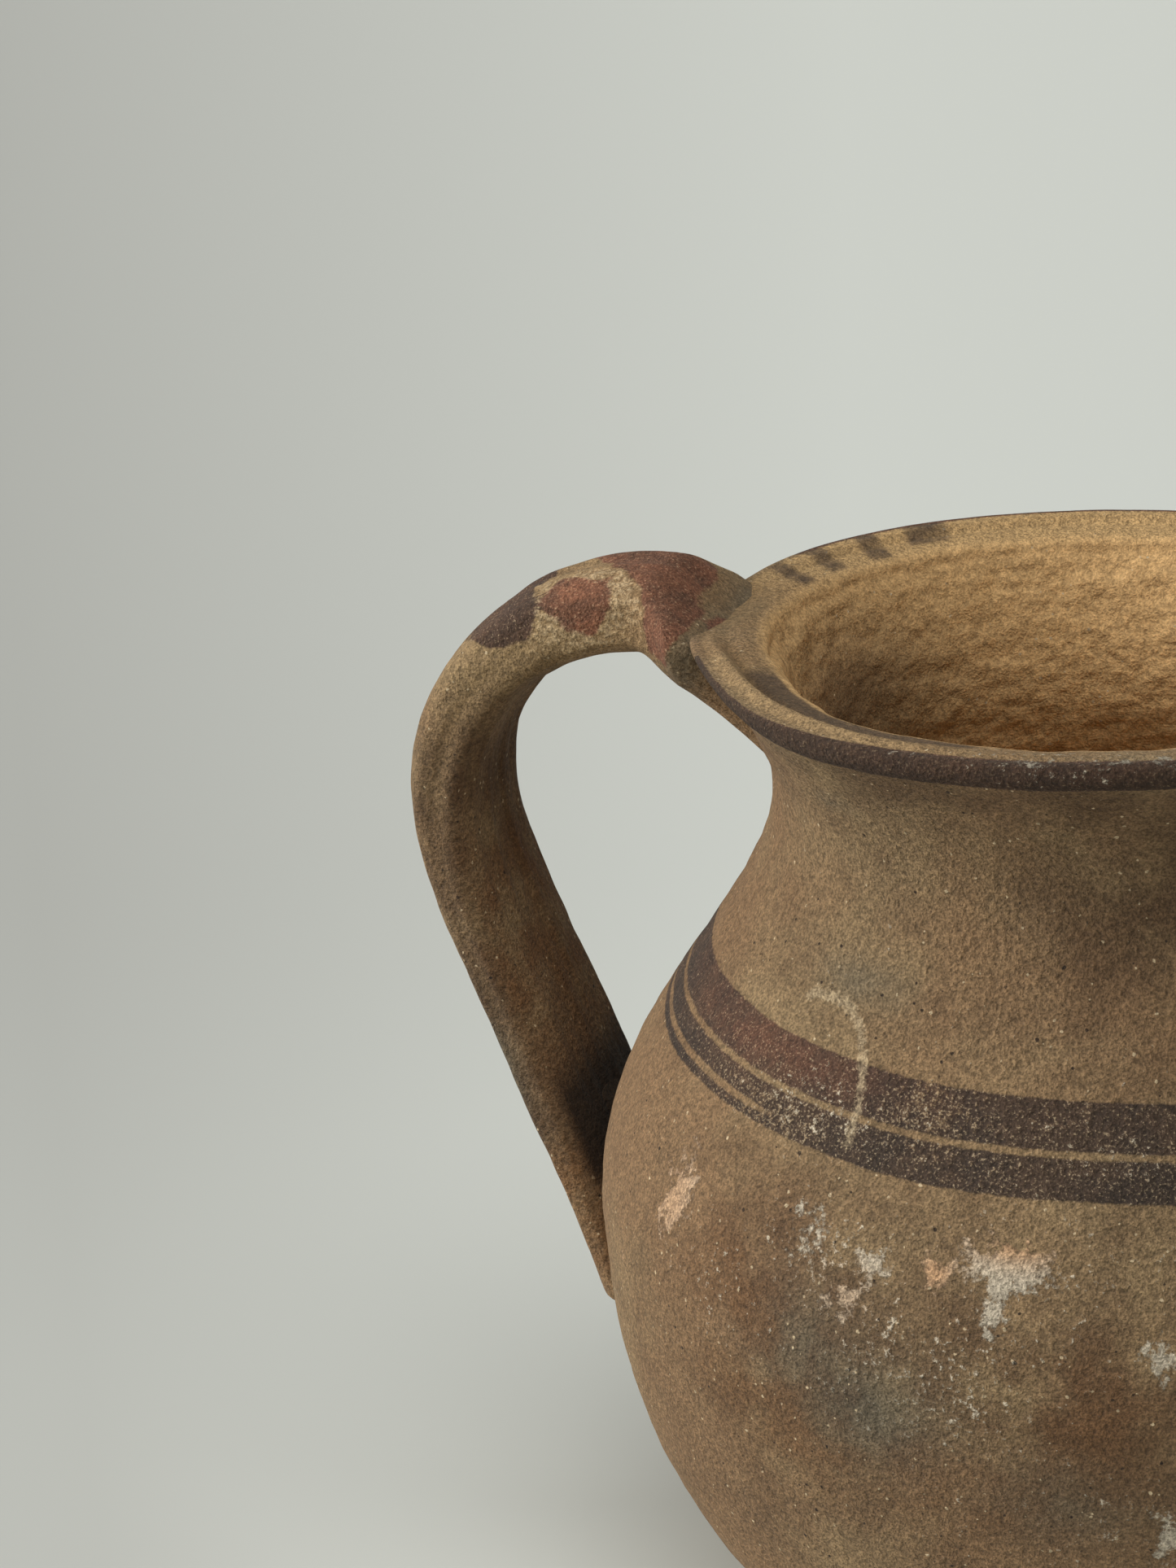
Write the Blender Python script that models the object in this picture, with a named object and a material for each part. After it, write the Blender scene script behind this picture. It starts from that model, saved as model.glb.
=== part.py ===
"""Ceramic jug: a hand-built round-bellied jug with a wide out-turned rim and one strap handle.

Units are metres and +Z is up. The origin is the centre of the flat base, and the handle lies along -X.
The pieces are the lumps of clay that the potter joined, with a thin slip seam between them.
"""

import math

import bmesh
import bpy
from mathutils import Vector
from mathutils.geometry import interpolate_bezier

# Heights, stacked from the base up
BELLY_HEIGHT = 0.081
SHOULDER_HEIGHT = 0.063
NECK_RISE = 0.024

# Radii of the outside, and the wall behind it
BASE_RADIUS = 0.040
BELLY_RADIUS = 0.0795
NECK_RADIUS = 0.0526
WALL = 0.006
FLOOR = 0.007

# Rim: a lip turned outwards, with a flat top face that falls towards the mouth
RIM_OVERHANG = 0.0134
RIM_WIDTH = 0.0115
RIM_DISH = 0.0018
LIP_EDGE = 0.003
LIP_ROUND = 0.0009

# How far each curve of the outside keeps to its direction before it turns
FOOT_ANGLE = math.radians(46)
FOOT_RUN = 0.025
BELLY_RUN_DOWN = 0.044
BELLY_RUN_UP = 0.025
NECK_RUN_DOWN = 0.019
NECK_RUN_UP = 0.0085
FLARE_ANGLE = math.radians(34)
FLARE_RUN = 0.006
THROAT_ANGLE = math.radians(58)
THROAT_RUN = 0.007

# Seams between the pieces of the wall: their places on the outside, and how much higher they end inside
COLLAR_SEAM_DROP = 0.017
RIM_SEAM_DROP = 0.010
SEAM_RISE = 0.002
SLIP_GAP = 0.0003

# Handle strap: thick and narrow over the rim, wide and thin at its tail
STRAP_ROOT_WIDTH = 0.020
STRAP_ROOT_THICKNESS = 0.0145
STRAP_TAIL_WIDTH = 0.034
STRAP_TAIL_THICKNESS = 0.0072
STRAP_SQUARENESS = 3.0
HANDLE_RISE = 0.006
HANDLE_STAND = 0.0325
ROOT_DEPTH = 0.019
ROOT_DROP = 0.019
ROOT_ANGLE = math.radians(38)
ROOT_RUN = 0.010
CROWN_OUT = 0.0069
CROWN_RUN_IN = 0.004
CROWN_RUN_OUT = 0.019
GRIP_DROP = 0.033
GRIP_RUN_UP = 0.018
GRIP_RUN_DOWN = 0.020
TAIL_DROP = 0.030
TAIL_PROUD = 0.0035
TAIL_LEAN = math.radians(20)
TAIL_RUN = 0.057

# Rolls of clay worked into the two corners under the strap: their diameters before they are pressed in
TOP_ROLL = 0.004
TAIL_ROLL = 0.006
LUTE_DEPTH = 0.003
LUTE_INSET = 0.002
LUTE_HOLLOW = 0.6

# Fineness of the facets, and the edges that stay sharp
TURN_STEPS = 64
CURVE_POINTS = 10
LIP_POINTS = 4
STRAP_POINTS = 24
SHARP_ANGLE = math.radians(35)
WELD = 1e-6

# Share of a corner's leg at which a cubic curve comes closest to a round arc
ARC_PULL = 0.55

NECK_HEIGHT = BELLY_HEIGHT + SHOULDER_HEIGHT
JUG_HEIGHT = NECK_HEIGHT + NECK_RISE
RIM_RADIUS = NECK_RADIUS + RIM_OVERHANG
MOUTH_RADIUS = RIM_RADIUS - RIM_WIDTH
MOUTH_HEIGHT = JUG_HEIGHT - RIM_DISH
COLLAR_SEAM = NECK_HEIGHT - COLLAR_SEAM_DROP
RIM_SEAM = JUG_HEIGHT - RIM_SEAM_DROP


def point(radius, height):
    return Vector((radius, height))


def direction(angle):
    return Vector((math.cos(angle), math.sin(angle)))


def curve(start, start_run, end_run, end):
    """Points of one cubic curve; the runs lead out of its start and on past its end."""
    return interpolate_bezier(start, start + start_run, end - end_run, end, CURVE_POINTS)


def chain(*pieces):
    """Joins point lists that share their end points into one list."""
    joined = list(pieces[0])
    for piece in pieces[1:]:
        joined.extend(piece[1:])
    return joined


def normals(line):
    """Unit normals on the right-hand side of a line of points."""
    found = []
    last = len(line) - 1
    for index in range(len(line)):
        along = (line[min(index + 1, last)] - line[max(index - 1, 0)]).normalized()
        found.append(Vector((along.y, -along.x)))
    return found


def offset(line, distance):
    """The line moved to its right-hand side, which is outwards on a line that climbs the jug's outside."""
    return [spot + normal * distance for spot, normal in zip(line, normals(line))]


def at_height(line, height):
    """The point at this height on a line that climbs."""
    for low, high in zip(line, line[1:]):
        if high.y >= height or high is line[-1]:
            return low.lerp(high, (height - low.y) / (high.y - low.y))


def between(line, bottom, top):
    """The stretch of a climbing line between two heights, with both ends on the line."""
    inside = [spot for spot in line if bottom < spot.y < top]
    return [at_height(line, bottom), *inside, at_height(line, top)]


def rounded(before, corner, after, radius):
    """An arc of about this radius in place of a corner."""
    start = corner + (before - corner).normalized() * radius
    end = corner + (after - corner).normalized() * radius
    start_pull = start.lerp(corner, ARC_PULL)
    end_pull = end.lerp(corner, ARC_PULL)
    return interpolate_bezier(start, start_pull, end_pull, end, LIP_POINTS)


def wall_lines():
    """The outside from the base's edge to the lip, and the inside from the floor to the mouth."""
    up = Vector((0, 1))
    base = point(BASE_RADIUS, 0)
    belly = point(BELLY_RADIUS, BELLY_HEIGHT)
    neck = point(NECK_RADIUS, NECK_HEIGHT)
    lip = point(RIM_RADIUS, JUG_HEIGHT - LIP_EDGE)
    foot = curve(base, direction(FOOT_ANGLE) * FOOT_RUN, up * BELLY_RUN_DOWN, belly)
    shoulder = curve(belly, up * BELLY_RUN_UP, up * NECK_RUN_DOWN, neck)
    flare = curve(neck, up * NECK_RUN_UP, direction(FLARE_ANGLE) * FLARE_RUN, lip)
    body_inside = offset(chain(foot, shoulder), -WALL)
    mouth = point(MOUTH_RADIUS, MOUTH_HEIGHT)
    throat = curve(body_inside[-1], up * NECK_RUN_UP, direction(THROAT_ANGLE) * THROAT_RUN, mouth)
    inside = chain(between(body_inside, FLOOR, body_inside[-1].y), throat)
    return chain(foot, shoulder, flare), inside


OUTSIDE, INSIDE = wall_lines()


def lip_line():
    """The lip from the end of its underside round its square edge to the mouth, with its corners eased."""
    under = OUTSIDE[-1]
    edge = point(RIM_RADIUS, JUG_HEIGHT)
    mouth = INSIDE[-1]
    lower = rounded(OUTSIDE[-2], under, edge, LIP_ROUND)
    upper = rounded(under, edge, mouth, LIP_ROUND)
    brink = rounded(edge, mouth, INSIDE[-2], LIP_ROUND)
    return [*lower, *upper, *brink]


def finish_mesh(name, shape, material, place):
    """Turns a bmesh into an object whose origin is at its own place on the jug."""
    bmesh.ops.remove_doubles(shape, verts=shape.verts, dist=WELD)
    bmesh.ops.recalc_face_normals(shape, faces=shape.faces)
    bmesh.ops.translate(shape, verts=shape.verts, vec=-place)
    mesh = bpy.data.meshes.new(name)
    shape.to_mesh(mesh)
    shape.free()
    mesh.shade_smooth()
    mesh.set_sharp_from_angle(angle=SHARP_ANGLE)
    piece = bpy.data.objects.new(name, mesh)
    piece.location = place
    if material:
        mesh.materials.append(material)
    bpy.context.scene.collection.objects.link(piece)
    return piece


def turned(name, outline, material=None, closed=True, seat=0.0):
    """A solid of revolution about Z from an outline of radii and heights."""
    shape = bmesh.new()
    corners = [shape.verts.new((spot.x, 0, spot.y)) for spot in outline]
    edges = [shape.edges.new(pair) for pair in zip(corners, corners[1:])]
    if closed:
        edges.append(shape.edges.new((corners[-1], corners[0])))
    bmesh.ops.spin(shape, geom=corners + edges, cent=(0, 0, 0), axis=(0, 0, 1), angle=math.tau,
                   steps=TURN_STEPS, use_merge=True)
    return finish_mesh(name, shape, material, Vector((0, 0, seat)))


def wall_ring(name, bottom, top, material):
    """The stretch of wall between two seams, half a slip gap clear of each."""
    low = bottom + SLIP_GAP / 2
    high = top - SLIP_GAP / 2
    outer = between(OUTSIDE, low, high)
    inner = between(INSIDE, low + SEAM_RISE, high + SEAM_RISE)
    return turned(name, [*reversed(outer), *inner], material, seat=bottom)


def base_disc(material):
    """The slab under the wall, with its top edge sloped to seat it."""
    seam = FLOOR - SLIP_GAP / 2
    outer = between(OUTSIDE, 0, seam)
    inner = between(INSIDE, FLOOR, seam + SEAM_RISE)
    outline = [point(0, FLOOR), *inner, *reversed(outer), point(0, 0)]
    return turned("base_disc", outline, material, closed=False)


def rim_lip(material):
    low = RIM_SEAM + SLIP_GAP / 2
    outer = between(OUTSIDE, low, OUTSIDE[-1].y)[:-1]
    inner = between(INSIDE, low + SEAM_RISE, INSIDE[-1].y)[:-1]
    return turned("rim_lip", [*reversed(outer), *inner, *reversed(lip_line())], material, seat=RIM_SEAM)


def hidden(cutter):
    cutter.hide_render = True
    cutter.display_type = "WIRE"
    return cutter


def jug_cutter():
    """The jug filled to its mouth and grown by the slip gap, which cuts the seats of what is luted on."""
    skin = offset([*OUTSIDE[:-1], *lip_line()], SLIP_GAP)
    outline = [point(0, skin[-1].y), *reversed(skin), point(0, skin[0].y)]
    return hidden(turned("jug_cutter", outline, closed=False))


def outside_radius(height):
    if height > OUTSIDE[-1].y:
        return RIM_RADIUS
    return at_height(OUTSIDE, height).x


def strap_line():
    """The strap's middle line from its root in the lip, over its crown and grip, to its tail on the belly."""
    out = Vector((1, 0))
    down = Vector((0, -1))
    tail_height = BELLY_HEIGHT - TAIL_DROP
    root = point(RIM_RADIUS - ROOT_DEPTH, JUG_HEIGHT - ROOT_DROP)
    crown = point(RIM_RADIUS + CROWN_OUT, JUG_HEIGHT + HANDLE_RISE - STRAP_ROOT_THICKNESS / 2)
    grip_thickness = (STRAP_ROOT_THICKNESS + STRAP_TAIL_THICKNESS) / 2
    grip = point(BELLY_RADIUS + HANDLE_STAND - grip_thickness / 2, JUG_HEIGHT - GRIP_DROP)
    tail_radius = outside_radius(tail_height) + TAIL_PROUD - STRAP_TAIL_THICKNESS / 2
    tail = point(tail_radius, tail_height)
    lean = direction(-math.pi / 2 - TAIL_LEAN)
    over_rim = curve(root, direction(ROOT_ANGLE) * ROOT_RUN, out * CROWN_RUN_IN, crown)
    over_hand = curve(crown, out * CROWN_RUN_OUT, down * GRIP_RUN_UP, grip)
    down_belly = curve(grip, down * GRIP_RUN_DOWN, lean * TAIL_RUN, tail)
    return chain(over_rim, over_hand, down_belly)


class Station:
    """One cross-section of the strap: its middle, outward normal, width and thickness."""

    def __init__(self, middle, normal, share):
        self.middle = middle
        self.normal = normal
        self.width = STRAP_ROOT_WIDTH + (STRAP_TAIL_WIDTH - STRAP_ROOT_WIDTH) * share
        self.thickness = STRAP_ROOT_THICKNESS + (STRAP_TAIL_THICKNESS - STRAP_ROOT_THICKNESS) * share

    def underside(self):
        return self.middle - self.normal * self.thickness / 2

    def ring(self, grown):
        """The section's rounded outline, on the -X side of the jug."""
        corners = []
        for step in range(STRAP_POINTS):
            angle = math.tau * (2 * step + 1) / (2 * STRAP_POINTS)
            across = rounded_square(math.cos(angle)) * (self.width / 2 + grown)
            deep = rounded_square(math.sin(angle)) * (self.thickness / 2 + grown)
            spot = self.middle + self.normal * deep
            corners.append(Vector((-spot.x, across, spot.y)))
        return corners


def rounded_square(part):
    """One coordinate of a superellipse, from the cosine or sine of its angle."""
    return math.copysign(abs(part) ** (2 / STRAP_SQUARENESS), part)


def strap_stations():
    line = strap_line()
    lengths = [0.0]
    for low, high in zip(line, line[1:]):
        lengths.append(lengths[-1] + (high - low).length)
    outward = [-normal for normal in normals(line)]
    return [Station(*place) for place in zip(line, outward, (run / lengths[-1] for run in lengths))]


STATIONS = strap_stations()
CROWN_STATION = CURVE_POINTS - 1
GRIP_STATION = 2 * (CURVE_POINTS - 1)


def strap(name, grown, material=None):
    """The strap as a loft through its stations, with flat ends."""
    shape = bmesh.new()
    rings = []
    for station in STATIONS:
        rings.append([shape.verts.new(corner) for corner in station.ring(grown)])
    for ring, following in zip(rings, rings[1:]):
        for step in range(STRAP_POINTS):
            after = (step + 1) % STRAP_POINTS
            shape.faces.new((ring[step], ring[after], following[after], following[step]))
    shape.faces.new(rings[0])
    shape.faces.new(rings[-1])
    return finish_mesh(name, shape, material, Vector((-RIM_RADIUS, 0, JUG_HEIGHT)))


def cut(piece, cutter):
    boolean = piece.modifiers.new("seat on " + cutter.name, "BOOLEAN")
    boolean.operation = "DIFFERENCE"
    boolean.solver = "EXACT"
    boolean.object = cutter


def clearance(spot):
    """How far a point stands out from the jug."""
    return spot.x - outside_radius(spot.y)


def run_into_jug(stations):
    """The leading stations whose underside is clear of the jug, and the corner where it runs into the jug."""
    clear = []
    for station in stations:
        spot = station.underside()
        if clearance(spot) < 0:
            near = clear[-1].underside()
            share = clearance(near) / (clearance(near) - clearance(spot))
            return clear, near.lerp(spot, share)
        clear.append(station)
    return clear, clear[-1].underside()


def fill_line(corner, clear, roll):
    """The point of the strap's underside up to which a roll of clay fills the corner."""
    clay = math.pi * roll ** 2 / 4
    near = corner
    for station in reversed(clear):
        far = station.underside()
        room = (clearance(near) + clearance(far)) / 2 * abs(far.y - near.y)
        if room > clay:
            return near.lerp(far, math.sqrt(clay / room))
        clay -= room
        near = far
    return near


def lute(name, stations, opens, roll, material):
    """A roll of clay smoothed hollow in a corner under the strap that opens upwards (1) or downwards (-1).

    It reaches into the strap and the jug, and the cutters then seat it on them.
    """
    clear, corner = run_into_jug(stations)
    on_strap = fill_line(corner, clear, roll)
    leg = (on_strap - corner).length
    on_jug = at_height(OUTSIDE, corner.y + opens * leg)
    hollow = interpolate_bezier(on_jug, on_jug.lerp(corner, LUTE_HOLLOW), on_strap.lerp(corner, LUTE_HOLLOW),
                                on_strap, CURVE_POINTS)
    inward = Vector((-LUTE_DEPTH, 0))
    into_strap = clear[-1].normal * LUTE_DEPTH
    outline = [*hollow, on_strap + into_strap, corner + into_strap + inward, on_jug + inward]
    half = clear[-1].width / 2 - LUTE_INSET
    shape = bmesh.new()
    side = shape.faces.new([shape.verts.new((-spot.x, -half, spot.y)) for spot in outline])
    swept = bmesh.ops.extrude_face_region(shape, geom=[side])["geom"]
    moved = [item for item in swept if isinstance(item, bmesh.types.BMVert)]
    bmesh.ops.translate(shape, verts=moved, vec=(0, 2 * half, 0))
    return finish_mesh(name, shape, material, Vector((-corner.x, 0, corner.y)))


def fired_clay(name, colour, roughness=0.9):
    """Unglazed earthenware: matt, with no metal and little shine."""
    material = bpy.data.materials.new(name)
    material.use_nodes = True
    shader = material.node_tree.nodes["Principled BSDF"]
    shader.inputs["Base Color"].default_value = (*colour, 1)
    shader.inputs["Roughness"].default_value = roughness
    shader.inputs["Metallic"].default_value = 0.0
    return material


def main():
    for old in list(bpy.data.objects):
        bpy.data.objects.remove(old, do_unlink=True)
    jug = bpy.data.objects.new("jug", None)
    bpy.context.scene.collection.objects.link(jug)

    cutter = jug_cutter()
    strap_cutter = hidden(strap("strap_cutter", SLIP_GAP))
    handle = strap("handle_strap", 0.0, fired_clay("smoked clay", (0.145, 0.098, 0.061)))
    lute_clay = fired_clay("lute clay", (0.105, 0.070, 0.044))
    top_lute = lute("handle_top_lute", STATIONS[CROWN_STATION::-1], -1, TOP_ROLL, lute_clay)
    tail_lute = lute("handle_tail_lute", STATIONS[GRIP_STATION:], 1, TAIL_ROLL, lute_clay.copy())
    for piece in (handle, top_lute, tail_lute):
        cut(piece, cutter)
    for piece in (top_lute, tail_lute):
        cut(piece, strap_cutter)

    belly_clay = fired_clay("belly clay", (0.180, 0.113, 0.061))
    shoulder_clay = fired_clay("shoulder clay", (0.200, 0.133, 0.074))
    neck_clay = fired_clay("neck clay", (0.215, 0.150, 0.088))
    pieces = [
        base_disc(fired_clay("base clay", (0.165, 0.105, 0.058))),
        wall_ring("belly_wall", FLOOR, BELLY_HEIGHT, belly_clay),
        wall_ring("shoulder_wall", BELLY_HEIGHT, COLLAR_SEAM, shoulder_clay),
        wall_ring("neck_collar", COLLAR_SEAM, RIM_SEAM, neck_clay),
        rim_lip(fired_clay("rim clay", (0.250, 0.166, 0.092))),
        handle,
        top_lute,
        tail_lute,
    ]
    for piece in (*pieces, cutter, strap_cutter):
        piece.parent = jug


main()
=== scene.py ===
"""Looks of the ceramic jug: sandy earthenware with brushed bands, worn and stained by the ground.

Units are metres, +Z is up and the handle lies along -X. Each solid of the jug is replaced by a finer piece
of the same form, which carries the marks of the wheel, the hand, the brush and the ground, and painted shade.
"""

import math

import bpy
import numpy as np
from bpy.props import FloatProperty, FloatVectorProperty, IntProperty, PointerProperty
from mathutils import Matrix, Vector, noise


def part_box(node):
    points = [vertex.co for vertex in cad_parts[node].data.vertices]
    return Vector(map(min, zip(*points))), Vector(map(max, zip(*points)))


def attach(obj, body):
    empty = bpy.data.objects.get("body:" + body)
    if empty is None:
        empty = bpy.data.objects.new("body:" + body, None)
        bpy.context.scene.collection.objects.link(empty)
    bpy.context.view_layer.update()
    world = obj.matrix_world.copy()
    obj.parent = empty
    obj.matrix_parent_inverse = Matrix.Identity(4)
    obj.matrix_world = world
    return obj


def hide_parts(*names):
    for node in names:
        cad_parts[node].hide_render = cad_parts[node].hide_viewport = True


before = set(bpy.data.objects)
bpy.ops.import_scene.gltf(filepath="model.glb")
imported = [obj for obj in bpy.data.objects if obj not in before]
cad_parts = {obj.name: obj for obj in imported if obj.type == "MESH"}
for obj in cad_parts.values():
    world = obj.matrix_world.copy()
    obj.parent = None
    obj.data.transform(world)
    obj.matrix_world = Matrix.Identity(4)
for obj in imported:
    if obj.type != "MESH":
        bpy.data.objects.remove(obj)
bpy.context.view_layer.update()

bl_info = {
    "name": "Ceramic jug looks",
    "version": (1, 0, 0),
    "blender": (4, 5, 0),
    "location": "3D View > Sidebar > Jug",
    "description": "Builds the fired and painted surfaces of a hand-built earthenware jug",
    "category": "Object",
}

MM = 0.001


def length(name, millimetres, description):
    return FloatProperty(name=name, description=description, default=millimetres * MM,
                         unit="LENGTH", subtype="DISTANCE")


def angle(name, degrees, description):
    return FloatProperty(name=name, description=description, default=math.radians(degrees),
                         unit="ROTATION", subtype="ANGLE")


def linear(code):
    """An sRGB hex colour as linear red, green and blue."""
    parts = [int(code[place:place + 2], 16) / 255 for place in (1, 3, 5)]
    return [part / 12.92 if part <= 0.04045 else ((part + 0.055) / 1.055) ** 2.4 for part in parts]


def colour(name, code, description):
    return FloatVectorProperty(name=name, description=description, default=linear(code),
                               min=0.0, max=1.0, subtype="COLOR")


class JugWall(bpy.types.PropertyGroup):
    """Sizes of the turned wall, as the solids have them."""

    base_radius: length("Base radius", 40, "Radius of the flat base")
    belly_radius: length("Belly radius", 79.5, "Outside radius at the girth")
    belly_height: length("Belly height", 81, "Height of the girth")
    neck_radius: length("Neck radius", 52.6, "Outside radius at the narrowest place of the neck")
    neck_height: length("Neck height", 144, "Height of the narrowest place of the neck")
    rim_radius: length("Rim radius", 66, "Outside radius of the lip")
    jug_height: length("Jug height", 168.5, "Height of the lip's outer edge")
    wall: length("Wall", 6, "Thickness of the wall")
    floor: length("Floor", 7, "Thickness of the base")
    rim_width: length("Rim width", 11.5, "Width of the lip's top face")
    rim_dish: length("Rim dish", 1.8, "Fall of the lip's top face towards the mouth")
    lip_edge: length("Lip edge", 3, "Height of the lip's square edge")
    lip_round: length("Lip round", 1.1, "Size of the lip's eased corners")
    foot_angle: angle("Foot angle", 46, "Slope of the wall above the base")
    foot_run: length("Foot run", 25, "How far the wall keeps its slope above the base")
    belly_run_down: length("Belly run down", 44, "How far the girth stays upright below")
    belly_run_up: length("Belly run up", 25, "How far the girth stays upright above")
    neck_run_down: length("Neck run down", 19, "How far the neck stays upright below")
    neck_run_up: length("Neck run up", 8.5, "How far the neck stays upright above")
    flare_angle: angle("Flare angle", 34, "Slope of the lip's underside")
    flare_run: length("Flare run", 6, "How far the lip's underside keeps its slope")
    throat_angle: angle("Throat angle", 58, "Slope of the inside below the mouth")
    throat_run: length("Throat run", 7, "How far the inside keeps its slope below the mouth")
    seam_rise: length("Seam rise", 2, "How much higher a seam ends inside than outside")
    step: length("Step", 1.3, "Spacing of the wall's points up its outline")
    band_step: length("Band step", 0.55, "Spacing of the points where the bands are brushed")
    lip_step: length("Lip step", 0.6, "Spacing of the points on the lip")
    turn: IntProperty(name="Turn", description="Points round the jug", default=400, min=64)


class HandMarks(bpy.types.PropertyGroup):
    """How far the hand and the wheel left the wall and the strap from their true form."""

    rim_pull: length("Rim pull", 2.6, "How far the lip is pressed in at its front")
    rim_lift: length("Rim lift", 2.4, "How far the lip is raised at its front")
    rim_front: angle("Rim front", -60, "Place round the jug where the lip is pressed in")
    rim_spread: angle("Rim spread", 45, "How far round the jug the pressing reaches")
    side_pull: length("Side pull", 2.8, "How far the lip is pressed in beside the handle")
    side_place: angle("Side place", -150, "Place round the jug beside the handle where the lip is pressed in")
    side_spread: angle("Side spread", 22, "How far round the jug this pressing reaches")
    side_thin: length("Side thinning", 1.6, "How much thinner the lip's edge is beside the handle")
    root_press: length("Root press", 1.9, "How far the strap presses the lip's outer edge down")
    root_spread: angle("Root spread", 19, "How far round the jug the strap presses")
    bead: length("Bead", 1.3, "Height of the bead along the lip's outer edge")
    groove: length("Groove", 0.8, "Depth of the groove inside the bead")
    lumps: length("Lumps", 0.45, "Height of the broad lumps outside")
    rings: length("Rings", 0.14, "Height of the wheel's rings outside")
    inner_lumps: length("Inner lumps", 0.6, "Height of the lumps inside")
    strap_lumps: length("Strap lumps", 0.4, "Height of the lumps on the strap")
    strap_lines: length("Strap lines", 0.65, "Depth of the pulled lines along the strap")


class HandleStrap(bpy.types.PropertyGroup):
    """Sizes of the pulled strap, as the solids have them, and of its smoothed joins."""

    root_width: length("Root width", 20, "Width over the rim")
    root_thickness: length("Root thickness", 14.5, "Thickness over the rim")
    tail_width: length("Tail width", 34, "Width at the tail")
    tail_thickness: length("Tail thickness", 7.2, "Thickness at the tail")
    squareness: FloatProperty(name="Squareness", description="Exponent of the section's outline",
                              default=3.3, min=2.0)
    rise: length("Rise", 5.7, "How far the crown stands above the lip")
    stand: length("Stand", 32.5, "How far the grip stands out from the girth")
    root_depth: length("Root depth", 19, "How far the root starts inside the lip's edge")
    root_drop: length("Root drop", 19, "How far the root starts below the lip")
    root_angle: angle("Root angle", 38, "Slope of the root")
    root_run: length("Root run", 10, "How far the root keeps its slope")
    crown_out: length("Crown out", 6.9, "How far the crown lies outside the lip's edge")
    crown_run_in: length("Crown run in", 4, "How far the crown stays level towards the lip")
    crown_run_out: length("Crown run out", 19, "How far the crown stays level outwards")
    grip_drop: length("Grip drop", 33, "How far the grip lies below the lip")
    grip_run_up: length("Grip run up", 18, "How far the grip stays upright above")
    grip_run_down: length("Grip run down", 20, "How far the grip stays upright below")
    tail_drop: length("Tail drop", 30, "How far the tail ends below the girth")
    tail_proud: length("Tail proud", 3.5, "How far the tail stands out from the belly")
    tail_lean: angle("Tail lean", 20, "Lean of the tail from the upright")
    tail_run: length("Tail run", 57, "How far the tail keeps its lean")
    tail_smear: length("Tail smear", 5, "Length over which the tail is thinned into the belly")
    tail_round: length("Tail round", 2, "Length over which the tail's end narrows")
    root_sinks: length("Root sinks", 71, "Distance from the axis where the root begins to sink into the lip")
    root_sunk: length("Root sunk", 57, "Distance from the axis where the root has sunk into the lip")
    root_ease: length("Root ease", 3, "How far below the lip's face the sinking begins")
    root_soft: length("Root soft", 2, "How much of the sinking root's sides stays upright")
    root_flare: length("Root flare", 9, "Radius with which the root's sides sweep into the lip's edge")
    tail_fillet: length("Tail fillet", 1.5, "Radius of the smoothed join with the belly")
    burial: length("Burial", 1.2, "How deep the tail's end lies under the wall's skin")
    root_burial: length("Root burial", 3.2, "How deep the root's end lies under the wall's skin")
    top_roll: length("Top roll", 4, "Diameter of the roll of clay under the root")
    tail_roll: length("Tail roll", 6, "Diameter of the roll of clay behind the tail")
    step: length("Step", 0.8, "Spacing of the strap's points along its length")
    girth: IntProperty(name="Girth", description="Points round the strap", default=96, min=24)


class ClayColours(bpy.types.PropertyGroup):
    """Colours of the fired clay, the brushed slip, what the ground left and the painted shade."""

    buff: colour("Buff", "#927A58", "Clay where the fire was clear")
    tan: colour("Tan", "#876A4B", "Clay where the fire was warmer")
    # This colour also paints shade under the lip, inside by the handle, on the strap's sides and in the
    # recess under the tail
    umber_and_shade: colour("Umber", "#5F4832", "Clay dulled by soil")
    ochre: colour("Ochre", "#7E5632", "Iron-stained clay")
    smoke: colour("Smoke", "#565549", "Clay clouded by smoke")
    throat: colour("Throat", "#BF9C6A", "Clean clay on the lip")
    hollow: colour("Hollow", "#CCA570", "Clean clay inside")
    # This colour also paints near-black shade in the recess under the tail and deep inside by the handle
    pit: colour("Pit", "#33261A", "Pits between the grains")
    grit: colour("Grit", "#BBA684", "Pale temper grains")
    slip: colour("Slip", "#46362B", "Dark brushed slip")
    slip_black: colour("Black slip", "#382D26", "Slip where it lies thick")
    slip_red: colour("Red slip", "#8C5A42", "Slip that fired red")
    lime: colour("Lime", "#C7BAA3", "White crust of lime")
    peach: colour("Peach", "#C4966B", "Iron-stained crust of lime")
    paper: colour("Paper", "#DEE1D9", "Pale paper of the floor")
    paper_dim: colour("Dim paper", "#BFC0B9", "The paper where less light falls on it")


class BrushedBands(bpy.types.PropertyGroup):
    """Heights of the slip that was brushed on while the jug turned."""

    upper_top: length("Upper band top", 121.4, "Top of the upper band")
    line_top: length("Line top", 115.6, "Top of the bare line between the bands")
    line_bottom: length("Line bottom", 114.8, "Bottom of the bare line between the bands")
    lower_bottom: length("Lower band bottom", 110.0, "Bottom of the lower band")
    thin_line: length("Thin line", 111.6, "Height of the thin bare line by the handle")
    thin_width: length("Thin line width", 0.9, "Width of the thin bare line")
    thin_end: angle("Thin line end", -114, "Place round the jug where the thin line ends in front")
    thin_start: angle("Thin line start", 150, "Place round the jug where the thin line ends behind")
    wander: length("Wander", 0.35, "How far the brush wandered up and down")


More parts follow.
